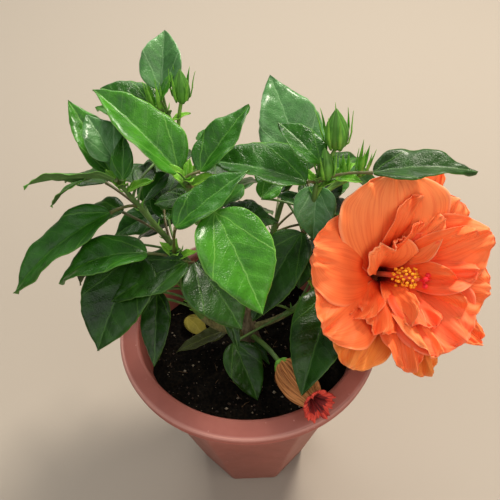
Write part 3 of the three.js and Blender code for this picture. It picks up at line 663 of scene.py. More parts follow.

# leaves
# foot of the blade, heading, rise, length, width, droop, fold, roll, and the finish
# the finishes deep, bright and pale carry painted shade, painted light and painted sheen
shownLeaves = {
    "left": [
        (-80, 2, 314, 175, -6, 62, 22, 30, 15, 50, "bright"),
        (-93, 15, 307, 195, -25, 40, 18, 50, 15, 30, "bright"),
        (-87, 22, 304, 128, 40, 55, 28, 12, 28, 0, "bright"),
        (-81, 12, 322, 128, 38, 34, 27, 15, 18, 0, "pale"),
        (-75, 0, 316, 88, 35, 29, 16, 10, 28, 0, "mid"),
        (-86, -5, 293, 206, -28, 84, 34, 40, 20, 0, "mid"),
        (-68, 22, 292, 84, 0, 26, 17, 15, 15, 0, "deep"),
        (-70, 26, 274, 62, 2, 36, 20, 20, 25, 0, "mid"),
        (-104, 10, 250, 225, -50, 34, 13, 35, 20, 0, "bronze"),
    ],
    "bud": [
        (-56, 44, 336, 162, 18, 38, 30, 20, 15, -10, "mid"),
        (-49, 43, 352, 84, 42, 39, 31, 20, 30, 0, "pale"),
        (-50, 38, 348, 40, 50, 20, 8, 10, 25, 0, "bright"),
        (-62, 28, 346, 147, -14, 40, 22, 15, 18, 0, "bright"),
    ],
    "centre": [
        (-40, 0, 320, 148, 36, 72, 42, 18, 32, 0, "bright"),
        (-26, -5, 324, 48, 26, 53, 27, 10, 25, 0, "mid"),
        (-36, 0, 299, 176, -14, 23, 20, 15, 10, 0, "deep"),
        (-15, 10, 271, 4, -12, 40, 30, 30, 10, 0, "deep"),
        (-17, -45, 327, 300, -38, 65, 46, 25, 15, 0, "bright"),
        (-37, 12, 288, 225, 14, 24, 19, 10, 12, 0, "mid"),
        (-36, 22, 288, 157, -34, 32, 16, 20, 15, 0, "deep"),
    ],
    "front": [
        (-39, -52, 322, 32, 20, 54, 26, 15, 20, 0, "mid"),
        (-62, -30, 280, 190, -14, 64, 32, 70, 18, 0, "mid"),
        (-33, -30, 270, 311, -34, 53, 44, 30, 12, 0, "deep"),
        (-70, -25, 274, 244, -30, 66, 50, 25, 14, 0, "deep"),
        (-37, -35, 276, 200, -16, 54, 36, 25, 14, 0, "deep"),
        (-59, -35, 249, 266, -35, 49, 20, 15, 14, 0, "deep"),
    ],
    "right": [
        (41, 5, 304, 165, 6, 65, 46, 20, 28, 0, "mid"),
        (41, 30, 292, 113, 42, 70, 48, 20, 12, 0, "pale"),
        (49, 5, 319, 134, 21, 39, 26, 15, 22, 0, "mid"),
        (83, 5, 310, 357, 0, 67, 31, 30, 20, 0, "deep"),
        (48, 14, 293, 264, -52, 36, 30, 20, 20, 0, "pale"),
        (12, 15, 283, 40, 20, 22, 20, 15, 15, 0, "bright"),
        (39, 0, 264, 228, -40, 70, 38, 30, 15, 0, "deep"),
        (60, 8, 303, 340, 6, 18, 11, 25, 30, 0, "young"),
        (62, 12, 301, 25, 30, 15, 9, 20, 30, 0, "young"),
        (41, 20, 273, 170, 15, 20, 14, 15, 15, 0, "mid"),
        (41, 5, 236, 256, -45, 24, 17, 15, 10, 0, "deep"),
    ],
    "low": [
        (62, -12, 215, 248, -18, 80, 44, 30, 22, 0, "deep"),
        (-16, -20, 218, 288, -38, 35, 12, 20, 20, 0, "deep"),
        (-12, -16, 165, 295, -32, 47, 30, 20, 14, 0, "deep"),
    ],
    "backLeft": [],
    "backRight": [],
}
leafRule = {"spiral": 144, "clearance": 7.5, "tries": 400, "stalkRadius": 0.95, "thickness": 0.45,
            "firstStalk": 0.08, "slope": 0.25, "slopeCost": 1.5}
# a pair is the least value and the span that a draw adds to it
hiddenRule = {"first": 0.1, "last": 0.95, "stalk": (18, 22), "climb": (30, -40), "length": (44, 24),
              "swing": 40, "rise": (10, -50), "slender": 0.62, "droop": 30, "fold": 14, "roll": 20}
tuftRule = {"taper": 0.5, "rise": (25, 45), "below": 7, "apart": 0.9, "slender": 0.5, "droop": 15, "fold": 25}
# the relief of a blade, as shares of its length
bladeRelief = {"pillow": 0.017, "furrow": 0.045, "wave": 0.026, "ripple": 0.006, "curl": 0.02}
# seed, number of leaves, the headings they may take, and the middle and radii of the space they stay in
hiddenLeaves = {
    "left": (31, 5, (60, 175), (-75, 45, 262), (62, 58, 50)),
    "bud": (83, 3, (20, 140), (-40, 66, 282), (48, 46, 42)),
    "centre": (24, 3, (40, 140), (-20, 30, 265), (45, 50, 45)),
    "front": (35, 4, (150, 260), (-50, -25, 215), (62, 52, 48)),
    "right": (135, 6, (10, 120), (46, 52, 252), (58, 56, 46)),
    "low": (23, 7, (-70, 70), (70, 20, 200), (66, 74, 44)),
    "backLeft": (123, 12, (30, 210), (-52, 80, 215), (80, 72, 62)),
    "backRight": (70, 12, (-30, 150), (50, 80, 215), (80, 72, 62)),
}
tufts = {
    "left": (4, 20), "bud": (3, 14), "centre": (5, 20), "front": (4, 15),
    "right": (3, 18), "low": (3, 12), "backLeft": (4, 18), "backRight": (4, 18),
}


def leafOutline(t):
    rise, fall = 0.52, 0.98
    peak = rise / (rise + fall)
    inside = np.clip(t, 0, 1)
    return inside ** rise * (1 - inside) ** fall / (peak ** rise * (1 - peak) ** fall)


def leafGrid(row, stations, spans):
    x, y, z, heading, rise, length, width, droop, fold, roll = row[:10]
    t, u = np.asarray(stations, float), np.asarray(spans, float)
    left = direction(heading + 90, 0)
    start = rise + droop / 2
    before = np.concatenate([[0], t[:-1]])
    steps = np.array([direction(heading, start - droop * (a + b) / 2) for a, b in zip(t, before)])
    middle = np.array([x, y, z]) + np.cumsum(steps * (length * (t - before))[:, None], axis=0)
    along = np.array([direction(heading, start - droop * a) for a in t])
    up = np.cross(along, left)
    turn = math.radians(roll)
    side = math.cos(turn) * left + math.sin(turn) * up
    normal = math.cos(turn) * up - math.sin(turn) * left
    half = leafOutline(t) * width / 2
    crease = np.sqrt(u * u + 0.004) - 0.063
    wide = half[:, None, None]
    grid = middle[:, None] + (u[None, :, None] * wide * math.cos(math.radians(fold))) * side[:, None]
    grid = grid + (crease[None, :, None] * wide * math.sin(math.radians(fold))) * normal[:, None]
    return grid, normal, side, half


def stalkFrom(shoot, at, foot):
    foot = np.asarray(foot, float)
    place, along = shootAt(shoot, at)
    reach = foot - place
    leave = 0.4 * along + 0.6 * unit(reach)
    return place, place + leave * np.linalg.norm(reach) * 0.5, foot


def stalkCurve(shoot, foot):
    foot = np.asarray(foot, float)
    first = leafRule["firstStalk"]
    ats = boughShare + first + (1 - boughShare - first) * np.arange(21) / 20
    away = foot - shootAt(shoot, ats)[0]
    run = np.hypot(away[:, 0], away[:, 1])
    steep = np.maximum(0, leafRule["slope"] * run - away[:, 2])
    cost = np.linalg.norm(away, axis=1) + leafRule["slopeCost"] * steep
    return stalkFrom(shoot, ats[int(np.argmin(cost))], foot)


sampleStations = [0, 0.12, 0.25, 0.4, 0.55, 0.7, 0.85, 1]


def samplesOf(shoot, row):
    blade, _, _, _ = leafGrid(row, sampleStations, [-1, -0.5, 0, 0.5, 1])
    return np.concatenate([blade.reshape(-1, 3), bezier(*stalkCurve(shoot, row[:3]), 10)[4:]])


def hiddenRows(shoot, rule, taken):
    seed, count, (lowTurn, highTurn), centre, radii = rule
    draw = makeRandom(seed)
    h = hiddenRule

    def drawn(name):
        least, span = h[name]
        return least + span * draw()

    rows = []
    for _ in range(leafRule["tries"]):
        if len(rows) == count:
            break
        at = boughShare + h["first"] + (h["last"] - boughShare - h["first"]) * draw()
        turn = lowTurn + (highTurn - lowTurn) * draw()
        stalk = drawn("stalk")
        foot = shootAt(shoot, at)[0] + direction(turn, drawn("climb")) * stalk
        length = drawn("length")
        heading = turn + h["swing"] * (draw() - 0.5)
        rise = drawn("rise")
        roll = h["roll"] * (draw() - 0.5)
        row = (*foot, heading, rise, length, length * h["slender"], h["droop"], h["fold"], roll)
        spots = samplesOf(shoot, row)
        if np.linalg.norm((spots - centre) / np.array(radii), axis=1).max() >= 1:
            continue
        if min(np.linalg.norm(t - spots[:, None], axis=2).min() for t in taken) > leafRule["clearance"]:
            rows.append(row + (("deep", "mid")[len(rows) % 2],))
            taken.append(spots)
    return rows


def tuftRows(shoot, count, size):
    tip, axis = shootAt(shoot, 1.0)
    r = tuftRule
    rows = []
    for i in range(count):
        turn = leafRule["spiral"] * i
        length = size * (1 - r["taper"] * i / count)
        rise = r["rise"][0] + r["rise"][1] * i / count
        foot = tip + axis * (-r["below"] + r["below"] * i / count) + direction(turn, 0) * r["apart"]
        rows.append((*foot, turn, rise, length, length * r["slender"], r["droop"], r["fold"], 0, "young"))
    return rows


def leafVeins(x, y, length):
    # distance in mm to the midrib, to the two veins from the foot, and to the side veins, which curve forward
    across = np.abs(x)
    bent = y - 0.004 * across ** 2
    basal = np.abs(across * math.cos(math.radians(30)) - bent * math.sin(math.radians(30)))
    spacing = length * 0.17
    phase = (y - across * 0.62 - 0.011 * across ** 2) / spacing - 0.35
    side = np.abs(phase - np.round(phase)) * spacing * 0.78
    side = np.where(phase > 0.5, side, 9)
    return across, basal, side


def fineLeaf(bits, row, draw):
    length = row[5]
    rows, columns = (38, 25) if length > 30 else (16, 11)
    t = 0.5 - 0.5 * np.cos(np.linspace(0.02, 1, rows) * math.pi)
    t[0] = 0.004
    u = np.linspace(-1, 1, columns)
    grid, normal, side, half = leafGrid(row, t, u)
    teeth = 0.16 if row[10] == "young" else 0.035
    bluntness = smooth(0.25, 0.6, t) * np.abs(np.sin(length * 0.16 * math.pi * t))
    reach = (half * teeth * bluntness)[:, None, None]
    grid = grid + (np.sign(u) * u ** 4)[None, :, None] * reach * side[:, None]
    half = np.maximum(half, 0.25)
    x = u[None] * half[:, None]
    y = np.broadcast_to(t[:, None] * length, x.shape)
    midrib, basal, sideVein = leafVeins(x, y, length)
    nearest = np.minimum(np.minimum(midrib * 1.1, basal), sideVein)
    size = {name: share * length for name, share in bladeRelief.items()}
    pillow = size["pillow"] * (1 - np.exp(-(nearest / size["furrow"]) ** 2)) * (1 - u[None] ** 4)
    lefts, rights = draw() * 2, draw() * 2
    swing = np.where(u[None] > 0, rights, lefts)
    waves, ripples = t[:, None] * (1.5 + 0.4 * swing) + swing, t[:, None] * 5.5 + swing * 3
    wave = size["wave"] * u[None] ** 2 * np.sin(2 * math.pi * waves)
    ripple = size["ripple"] * np.abs(u[None]) ** 3 * np.sin(2 * math.pi * ripples)
    curl = -size["curl"] * np.maximum(0, np.abs(u[None]) - 0.7) ** 2 * 8
    lift = pillow + (wave + ripple) * smooth(0, 0.2, t)[:, None] + curl * smooth(0, 0.3, t)[:, None]
    grid = grid + lift[..., None] * normal[:, None]
    places = paired(0.5 + x / 100, y / 100)
    spans = paired(0.5 + 0.5 * u[None], t[:, None])
    thickness = leafRule["thickness"] * (0.5 + 0.5 * length / 70)
    looks = [list(leafLooks).index(look) for look in (row[10], "under")]
    closedSheet(bits, grid, normal, thickness, looks, places, spans)


# leaf blade: a waxy cuticle over green tissue, half glossy, quilted between sunken pale veins
def leafMaterial(name, dark, base, vein, roughness, coat):
    material, add = newMaterial(name)
    place = add("TexCoord").outputs["Object"]
    blade = add("UVMap", {"uv_map": "blade"})
    span = add("UVMap", {"uv_map": "span"})
    # the veins waver a little
    waver = add("TexNoise", {"Vector": blade, "Scale": 14, "Detail": 2}).outputs["Color"]
    centred = add("VectorMath", {"operation": "SUBTRACT", 0: waver, 1: (0.5, 0.5, 0.5)})
    shifted = add("VectorMath", {"operation": "MULTIPLY_ADD", 0: centred, 1: (0.022, 0.022, 0), 2: blade})
    split = add("SeparateXYZ", {"Vector": shifted})
    across = offMiddle(add, split.outputs["X"])
    # the midrib and the two veins from the foot, each about 0.8 mm wide
    inwards = add("Math", {"operation": "MULTIPLY", 0: across, 1: 0.866})
    along = add("Math", {"operation": "MULTIPLY", 0: split.outputs["Y"], 1: 0.5})
    apart = add("Math", {"operation": "SUBTRACT", 0: inwards, 1: along})
    basal = add("Math", {"operation": "ABSOLUTE", 0: apart})
    main = add("Math", {"operation": "MINIMUM", 0: across, 1: basal})
    # side veins every 10 mm, leaning and then curving forward
    square = add("Math", {"operation": "MULTIPLY", 0: across, 1: across})
    curve = add("Math", {"operation": "MULTIPLY", 0: square, 1: -1.1})
    lean = add("Math", {"operation": "MULTIPLY_ADD", 0: across, 1: -0.62, 2: curve})
    run = add("Math", {"operation": "ADD", 0: lean, 1: split.outputs["Y"]})
    folded = add("Math", {"operation": "PINGPONG", 0: run, 1: 0.05})
    fine = add("MapRange", {"Value": folded, "From Min": 0.004, "From Max": 0.0, "To Max": 0.2})
    strong = add("MapRange", {"Value": main, "From Min": 0.0055, "From Max": 0.001, "To Max": 0.46})
    veins = add("Math", {"operation": "MAXIMUM", 0: fine, 1: strong})
    patches = add("TexNoise", {"Vector": place, "Scale": 46, "Detail": 6, "Roughness": 0.65})
    tissue = colourSteps(add, patches, [(0.36, dark), (0.62, base)])
    veined = add("MixRGB", {"Fac": veins, "Color1": tissue, "Color2": vein})
    # the thin pale rim
    outer = offMiddle(add, add("SeparateXYZ", {"Vector": span}).outputs["X"])
    rim = add("MapRange", {"Value": outer, "From Min": 0.475, "From Max": 0.495, "To Max": 0.6})
    rimmed = add("MixRGB", {"Fac": rim, "Color1": veined, "Color2": vein})
    # the finest net of veins, drawn 1.4 mm apart so that it still shows
    net = add("TexVoronoi", {"feature": "DISTANCE_TO_EDGE", "Vector": blade, "Scale": 70})
    puckers = add("TexNoise", {"Vector": blade, "Scale": 26, "Detail": 3})
    quilted = add("Math", {"operation": "MULTIPLY_ADD", 0: puckers, 1: 1.6, 2: net})
    relief = add("Math", {"operation": "MULTIPLY_ADD", 0: veins, 1: -0.7, 2: quilted})
    bump = add("Bump", {"Height": relief, "Strength": 0.5, "Distance": 0.0007})
    # rain and dust leave the wax uneven
    worn = add("MapRange", {"Value": patches, "From Min": 0.35, "From Max": 0.7,
                            "To Min": roughness - 0.08, "To Max": roughness + 0.16})
    return surface(material, {"Base Color": rimmed, "Roughness": worn, "Normal": bump, "Coat Weight": coat,
                              "Coat Roughness": 0.2, "Specular IOR Level": 0.22})


# dark tissue, tissue, veins, roughness and wax
# deep, mid and bright are darker and lighter copies of one leaf, dealt out leaf by leaf: partly a real spread
# of tone, partly painted shade on deep leaves and painted light on bright ones; pale is a copy with painted
# sheen, a whitish bluish green where a leaf catches the light
leafLooks = {
    "deep": ("leafDeepAndShaded", "#132D06", "#20480A", "#4C7628", 0.34, 0.14),
    "mid": ("leafMid", "#194406", "#28620C", "#5C9032", 0.34, 0.16),
    "bright": ("leafBrightAndLit", "#286010", "#408418", "#80B452", 0.34, 0.22),
    "pale": ("leafPaintedSheen", "#3C6C34", "#55884C", "#86AE78", 0.36, 0.3),
    "young": ("leafYoung", "#4C8A18", "#70AC28", "#A0CA58", 0.42, 0.15),
    "bronze": ("leafBronze", "#2A2A0E", "#3A4416", "#6E7838", 0.4, 0.2),
    "shed": ("leafShed", "#5E5418", "#8E8430", "#A89C4A", 0.6, 0.0),
    "under": ("leafUnderside", "#44692E", "#5A8040", "#8CA868", 0.62, 0.0),
}
leafMaterials = [leafMaterial(*look) for look in leafLooks.values()]
greenStem = plainMaterial("greenStem", "#587A34", 0.5, "#3D5A22", 160)
reddishStalk = plainMaterial("reddishStalk", "#56622C", 0.5, "#5A4426", 140)
pedicelGreen = plainMaterial("pedicelGreen", "#7AA83E", 0.5, "#5A8630", 150)
greenSepal = plainMaterial("greenSepal", "#7ABA3C", 0.5, "#56922A", 180)
budSepal = plainMaterial("budSepal", "#5C9A30", 0.5, "#427824", 180)

# buds
# share of the shoot where the stalk starts, foot, tip, radius, the number of narrow bracts, and whether a
# closed bud sits among them
buds = {
    "bud": [
        (0.84, (-37, 40, 346), (-36, 40, 369), 6, 6, True),
        (0.93, (-53, 40, 338), (-55, 40, 362), 4, 6, False),
    ],
    "right": [
        (0.93, (60, 14, 325), (58, 14, 354), 8, 7, True), (0.86, (54, 10, 303), (52, 10, 328), 6, 5, True),
        (0.84, (67, 14, 300), (66, 14, 318), 3, 5, False), (0.86, (77, 14, 301), (80, 14, 324), 4, 6, False),
    ],
}


def squareTo(axis):
    first = unit(np.cross(axis, [0.0, 1.0, 0.0] if abs(axis[1]) < 0.9 else [1.0, 0.0, 0.0]))
    return first, np.cross(axis, first)


def around(foot, axis, turn, radius, height):
    # places round an axis, for arrays of turns, radii and heights
    first, second = squareTo(axis)
    spoke = np.cos(turn)[..., None] * first + np.sin(turn)[..., None] * second
    return foot + np.asarray(radius)[..., None] * spoke + np.asarray(height)[..., None] * axis


def revolve(bits, foot, axis, profile, sides, finish, ribs=0, ribDepth=0.0):
    turn = fullTurn(sides)
    radii, heights = np.array(profile, float).T[..., None]
    rings = around(foot, axis, turn[None], radii * (1 + ribDepth * np.cos(ribs * turn)), heights)
    places = paired(turn / (2 * math.pi), np.linspace(0, 1, len(profile))[:, None])
    bits.add(rings, gridFaces(len(profile), sides, True), finish, places)


def bract(bits, path, width, outward, finish, cup=0.8):
    # a narrow pointed bract, widest below its middle and cupped towards what it clasps
    path = np.asarray(path, float)
    along = unit(np.gradient(path, axis=0))
    across = unit(np.cross(along, outward))
    up = np.cross(across, along)
    t = np.linspace(0, 1, len(path))
    half = width * (0.35 + 0.65 * np.sin(math.pi * t ** 0.8)) * (1 - t ** 3) / 2 + 0.06
    u = np.array([-1, -0.5, 0, 0.5, 1])
    grid = path[:, None] + (u[None, :, None] * half[:, None, None]) * across[:, None]
    grid = grid - (u[None, :, None] ** 2 * half[:, None, None] * cup) * up[:, None]
    places = paired(u[None], t[:, None])
    closedSheet(bits, grid, up, 0.3, (finish, finish), places, places)


def makeBud(bits, shoot, at, foot, tip, radius, count, closed):
    foot, tip = np.array(foot, float), np.array(tip, float)
    length = np.linalg.norm(tip - foot)
    axis = unit(tip - foot)
    draw = makeRandom(int(900 + 7 * radius + foot[2]))
    t = np.linspace(0, 1, 14)
    if closed:
        profile = [(0.04, -0.05), (0.42, -0.035), (0.72, 0.05), (0.92, 0.16), (0.98, 0.3), (0.92, 0.46),
                   (0.74, 0.62), (0.5, 0.76), (0.28, 0.87), (0.1, 0.95), (0.01, 0.985)]
        revolve(bits, foot, axis, [(r * radius * 0.9, z * length) for r, z in profile], 40, 0, 5, 0.07)
        for i in range(5):
            turn = 2 * math.pi * (i + 0.5) / 5
            swell = np.interp(t, [0, 0.2, 0.4, 0.6, 0.8, 1], [0.7, 0.93, 0.95, 0.78, 0.46, 0.04])
            path = around(foot, axis, np.full(14, turn), radius * swell, length * 0.97 * t)
            bract(bits, path, radius * 0.8, squared(path[6] - foot, axis), 3, 0.35)
    # the narrow bracts cage the bud, and some curl away at the tip
    for i in range(count):
        turn = 2 * math.pi * (i + 0.3 * (draw() - 0.5)) / count
        reach = 1.06 - 0.22 * draw()
        curl = 0.7 * draw() * (t ** 3)
        widths = [0.45, 1.02, 1.22, 1.14, 1.0 if closed else 0.9]
        belly = curl + np.interp(t, [0, 0.15, 0.45, 0.75, 1], widths)
        path = around(foot, axis, turn + 0.25 * (draw() - 0.5) * t, radius * belly, length * reach * t)
        bract(bits, path, 2.3 if closed else 3.1, squared(path[7] - foot, axis), 1, 0.5)
    if not closed:
        profile = [(0.1, -1), (1.6, -0.4), (0.55 * radius, 1), (0.5 * radius, 4), (0.1, 5)]
        revolve(bits, foot, axis, profile, 16, 1)
    tube(bits, bezier(*stalkFrom(shoot, at, foot), 16), np.linspace(1.3, 1.2, 16), 10, 2)


# closed bud: green sepals, with the rolled orange-red petals showing as slits between them
def budMaterial():
    material, add = newMaterial("budPetalRoll")
    place = add("UVMap", {"uv_map": "blade"})
    turn = add("SeparateXYZ", {"Vector": place}).outputs["X"]
    fifths = add("Math", {"operation": "MULTIPLY", 0: turn, 1: 5})
    slit = add("Math", {"operation": "PINGPONG", 0: fifths, 1: 0.5})
    colour = colourSteps(add, slit, [(0.1, "#4E8428"), (0.3, "#3E661E"), (0.36, "#8A3424")])
    return surface(material, {"Base Color": colour, "Roughness": 0.5})


budSkin = budMaterial()

# bloom rule, needed before the leaves because they keep clear of it
bloomSettings = {
    "foot": (91, 11, 208), "heading": 288, "rise": 46, "thickness": 0.7, "steps": 48, "clawRadius": 4,
    "outerPetals": 12, "rows": 48, "columns": 45, "broadFrom": 45, "solidHalf": 0.65,
}
# turn, start, length, width, tilt at the root, tilt at the tip, roll, ruffle, point
petals = [
    (52, -7, 106, 34, 14, 92, 0, 2, 0.8),
    (226, -7, 96, 48, 14, 96, 0, 2, 0.0),
    (306, -7, 106, 34, 14, 90, 0, 2, 0.8),
    (270, -4, 98, 34, 14, 94, 0, 2, 0.1),
    (84, 7, 94, 82, 12, 84, 0, 2, 0.0),
    (152, 5, 91, 62, 12, 90, 0, 2, 0.0),
    (198, 0, 95, 58, 12, 88, 0, 2, 0.0),
    (258, 1, 94, 34, 12, 86, 20, 3, 0.5),
    (296, 5, 90, 60, 12, 82, 0, 2, 0.0),
    (334, 0, 92, 58, 12, 80, 0, 2, 0.0),
    (8, 5, 96, 58, 12, 82, 0, 2, 0.6),
    (34, -3, 94, 56, 12, 84, 0, 2, 0.0),
    (96, 18, 44, 40, 8, 40, 0, 4, 0.0),
    (52, 16, 56, 28, 20, 60, 55, 2, 0.2),
    (20, 18, 52, 32, 22, 62, 10, 3, 0.2),
    (232, 16, 60, 38, 25, 62, 10, 3, 0.3),
    (262, 20, 54, 30, 22, 52, 65, 4, 0.0),
    (288, 18, 60, 38, 22, 62, -15, 3, 0.2),
    (330, 18, 58, 34, 25, 62, 45, 4, 0.0),
]


def bloomFrame():
    axis = direction(bloomSettings["heading"], bloomSettings["rise"])
    level = direction(bloomSettings["heading"] + 90, 0)
    return axis, level, np.cross(axis, level), np.array(bloomSettings["foot"], float)


def petalOutline(t, point):
    body = np.sin(math.pi * np.clip(t, 0, 1) ** 1.6) ** 0.6 * ((0.45 + 0.55 * t) / (0.45 + 0.55 * 0.66))
    return body * (1 - point * np.clip((t - 0.55) / 0.45, 0, 1) * 0.55)


def petalGrid(row, stations, spans):
    turn, start, length, width, rootTilt, tipTilt, roll, ruffle, point = row
    axis, level, upright, foot = bloomFrame()
    phase = math.radians(turn)
    out = math.cos(phase) * level + math.sin(phase) * upright
    side = np.cross(axis, out)
    t, u = np.asarray(stations, float), np.asarray(spans, float)
    fine = np.linspace(0, 1, bloomSettings["steps"] + 1)
    tilts = np.radians(rootTilt + (tipTilt - rootTilt) * ((fine[1:] + fine[:-1]) / 2) ** 1.2)
    step = length / bloomSettings["steps"]
    run = bloomSettings["clawRadius"] + np.concatenate([[0], np.cumsum(np.sin(tilts) * step)])
    ahead = start + np.concatenate([[0], np.cumsum(np.cos(tilts) * step)])
    far, on = np.interp(t, fine, run)[:, None, None], np.interp(t, fine, ahead)[:, None, None]
    tilt = np.radians(rootTilt + (tipTilt - rootTilt) * t ** 1.2)[:, None]
    normal = -np.cos(tilt) * out + np.sin(tilt) * axis
    half = petalOutline(t, point) * width / 2
    offset = (u[None] * half[:, None])[..., None]
    angle = offset / np.maximum(far, 6)
    curved = far * np.cos(angle) * out + far * np.sin(angle) * side
    rolled = math.radians(roll)
    flat = far * out + offset * math.cos(rolled) * side + offset * math.sin(rolled) * normal[:, None]
    share = smooth(0.25, 0.85, t)[:, None, None]
    spread = u[None] * half[:, None] / (width / 2)
    wave = ruffle * np.sin(5 * np.arctan2(spread * 0.8, (t - 0.45)[:, None]) + turn)
    edge = np.maximum(u[None] ** 2, smooth(0.6, 1, t)[:, None]) * smooth(0.25, 0.7, t)[:, None]
    grid = foot + on * axis + curved * (1 - share) + flat * share + (wave * edge)[..., None] * normal[:, None]
    return grid, normal, half


def calyxSpots():
    axis, level, upright, foot = bloomFrame()
    turn = np.linspace(0, 2 * math.pi, 11)[:, None]
    ring = np.cos(turn) * level + np.sin(turn) * upright
    return np.concatenate([foot + r * ring + z * axis for r, z in ((0, -13), (3, -12), (8.5, -6), (8, -gap))])


def bloomStalkCurve():
    axis, _, _, foot = bloomFrame()
    start = shootAt(shoots["low"], boughShare - 0.02)[0]
    end = foot - axis * 9
    return start, end - axis * 22, end


# masses of leaves
# stations along and across a narrow and a broad petal, at which leaves keep clear of it
narrowSamples = [0.26, 0.62, 0.97], [-1, 0, 1]
broadSamples = [0.26, 0.52, 0.78, 0.97], [-1, -0.4, 0.4, 1]
taken = []
for name, shoot in shoots.items():
    taken.append(shootAt(shoot, np.arange(25) / 24)[0])
    taken.extend(samplesOf(shoot, row) for row in shownLeaves[name])
taken.append(bezier(*bloomStalkCurve(), 11))
taken.append(calyxSpots())
for petal in petals:
    narrow = petal[3] < bloomSettings["broadFrom"]
    grid, normal, _ = petalGrid(petal, *(narrowSamples if narrow else broadSamples))
    for side in (1, -1):
        taken.append((grid + side * bloomSettings["solidHalf"] * normal[:, None]).reshape(-1, 3))


def makeStems(bits, shoot, rows):
    ats = np.linspace(boughShare, 1, 34)
    tube(bits, shootAt(shoot, ats)[0], shootRadius(shoot, ats), 14, 0)
    for row in rows:
        curve = stalkCurve(shoot, row[:3])
        thick = leafRule["stalkRadius"] * (0.75 + 0.25 * row[5] / 60)
        path = bezier(*curve, 18)
        swell = 1 + 0.7 * np.exp(-np.arange(18) / 1.2) + 0.35 * np.exp(-(17 - np.arange(18)) / 1.5)
        tube(bits, path, thick * swell, 9, 1 if row[5] > 50 else 2)
        # a pair of stipules at the stalk's foot
        for turn in (60, -60):
            heading = math.degrees(math.atan2(path[4][1] - path[0][1], path[4][0] - path[0][0])) + turn
            t = np.linspace(0, 1, 6)[:, None]
            spike = path[0] + direction(heading, 20) * (1.6 + 3.4 * t) + np.array([0, 0, 2.2]) * t * t
            bract(bits, spike, 1.0, np.array([0, 0, 1.0]), 3)


for number, (name, shoot) in enumerate(shoots.items()):
    draw = makeRandom(700 + number)
    rows = list(shownLeaves[name]) + hiddenRows(shoot, hiddenLeaves[name], taken)
    blades = Bits()
    for row in rows + tuftRows(shoot, *tufts[name]):
        fineLeaf(blades, row, draw)
    finishPiece(blades.build("blades_" + name, leafMaterials), ["leaves_" + name])
    stems = Bits()
    makeStems(stems, shoot, rows)
    made = [stems.build("stems_" + name, [greenStem, reddishStalk, greenStem, greenSepal])]
    if name in buds:
        shapes = Bits()
        for bud in buds[name]:
            makeBud(shapes, shoot, *bud)
        made.append(shapes.build("buds_" + name, [budSkin, greenSepal, pedicelGreen, budSepal]))
    for piece in made:
        finishPiece(piece, ["leaves_" + name])
    print("leaves", name, len(rows))

# low down: two thin leaves straight from the trunk, and a shed yellow leaf that lies on the soil
lowLeaves = [
    ((-17.5, 8, 150, 201, -8, 44, 15, 20, 20, 0, "bronze"), 150),
    ((2, -4, 152, 309, -28, 24, 9, 15, 20, 0, "mid"), 156),
]
shedLeaf = (-51, 30, 142, 308, -4, 28, 15, 6, 8, 6, "shed")


def makeLowLeaves():
    draw = makeRandom(811)
    blades, stalks = Bits(), Bits()
    places, _ = trunkPlaces()
    for row, height in lowLeaves:
        fineLeaf(blades, row, draw)
        start = places[int(np.argmin(np.abs(places[:, 2] - height)))]
        foot = np.array(row[:3], float)
        tube(stalks, bezier(start, (start + foot) / 2 + np.array([0, 0, 3.0]), foot, 10), 0.8, 8, 0)
    finishPiece(blades.build("blades_low_sprouts", leafMaterials), [])
    finishPiece(stalks.build("stems_low_sprouts", [reddishStalk]), [])
    shed = Bits()
    fineLeaf(shed, shedLeaf, draw)
    finishPiece(shed.build("shed_leaf", leafMaterials), [])


makeLowLeaves()


# open bloom
# heights in mm of the frill at the edge, the soft pleats and the crepe between the veins
petalRelief = {
    "frill": 1.8, "fineFrill": 0.9, "pleat": 0.9, "innerPleat": 1.1, "finePleat": 0.55, "crepe": 0.3,
}


def finePetal(bits, row, number, finish):
    width = row[3]
    p = petalRelief
    t = 0.08 + 0.915 * np.sin(np.linspace(0, 1, bloomSettings["rows"]) * math.pi / 2) ** 1.15
    u = np.linspace(-1, 1, bloomSettings["columns"])
    grid, normal, half = petalGrid(row, t, u)
    phase = number * 1.7
    inner = number >= bloomSettings["outerPetals"]
    edge = np.maximum(np.abs(u)[None] ** 3, smooth(0.72, 1, t)[:, None]) * smooth(0.3, 0.8, t)[:, None]
    spread = u[None] * half[:, None] / (width / 2)
    fan = np.arctan2(spread * 0.8, (t - 0.4)[:, None])
    frill = edge * (p["frill"] * np.sin(11 * fan + phase) + p["fineFrill"] * np.sin(23 * fan + 2 * phase))
    # the pleats run out from the claw, and the crepe lies between the veins
    pleats = (p["pleat"] + p["innerPleat"] * inner) * np.sin(3.1 * u[None] + phase + 1.4 * t[:, None])
    pleats *= np.sin(2.3 * u[None] - phase)
    pleats += p["finePleat"] * np.sin(7.5 * u[None] + 2 * phase + 1.8 * np.sin(4 * t[:, None] + phase))
    crinkle = p["crepe"] * np.sin(17 * u[None] + 2.2 * np.sin(5 * t[:, None] + phase))
    lift = frill + (pleats + crinkle) * smooth(0.15, 0.6, t)[:, None]
    grid = grid + lift[..., None] * normal[:, None]
    x = u[None] * half[:, None]
    places = paired(0.5 + x / 100, t[:, None])
    spans = paired(0.5 + 0.5 * u[None], t[:, None])
    closedSheet(bits, grid, normal, bloomSettings["thickness"], (finish, finish), places, spans)


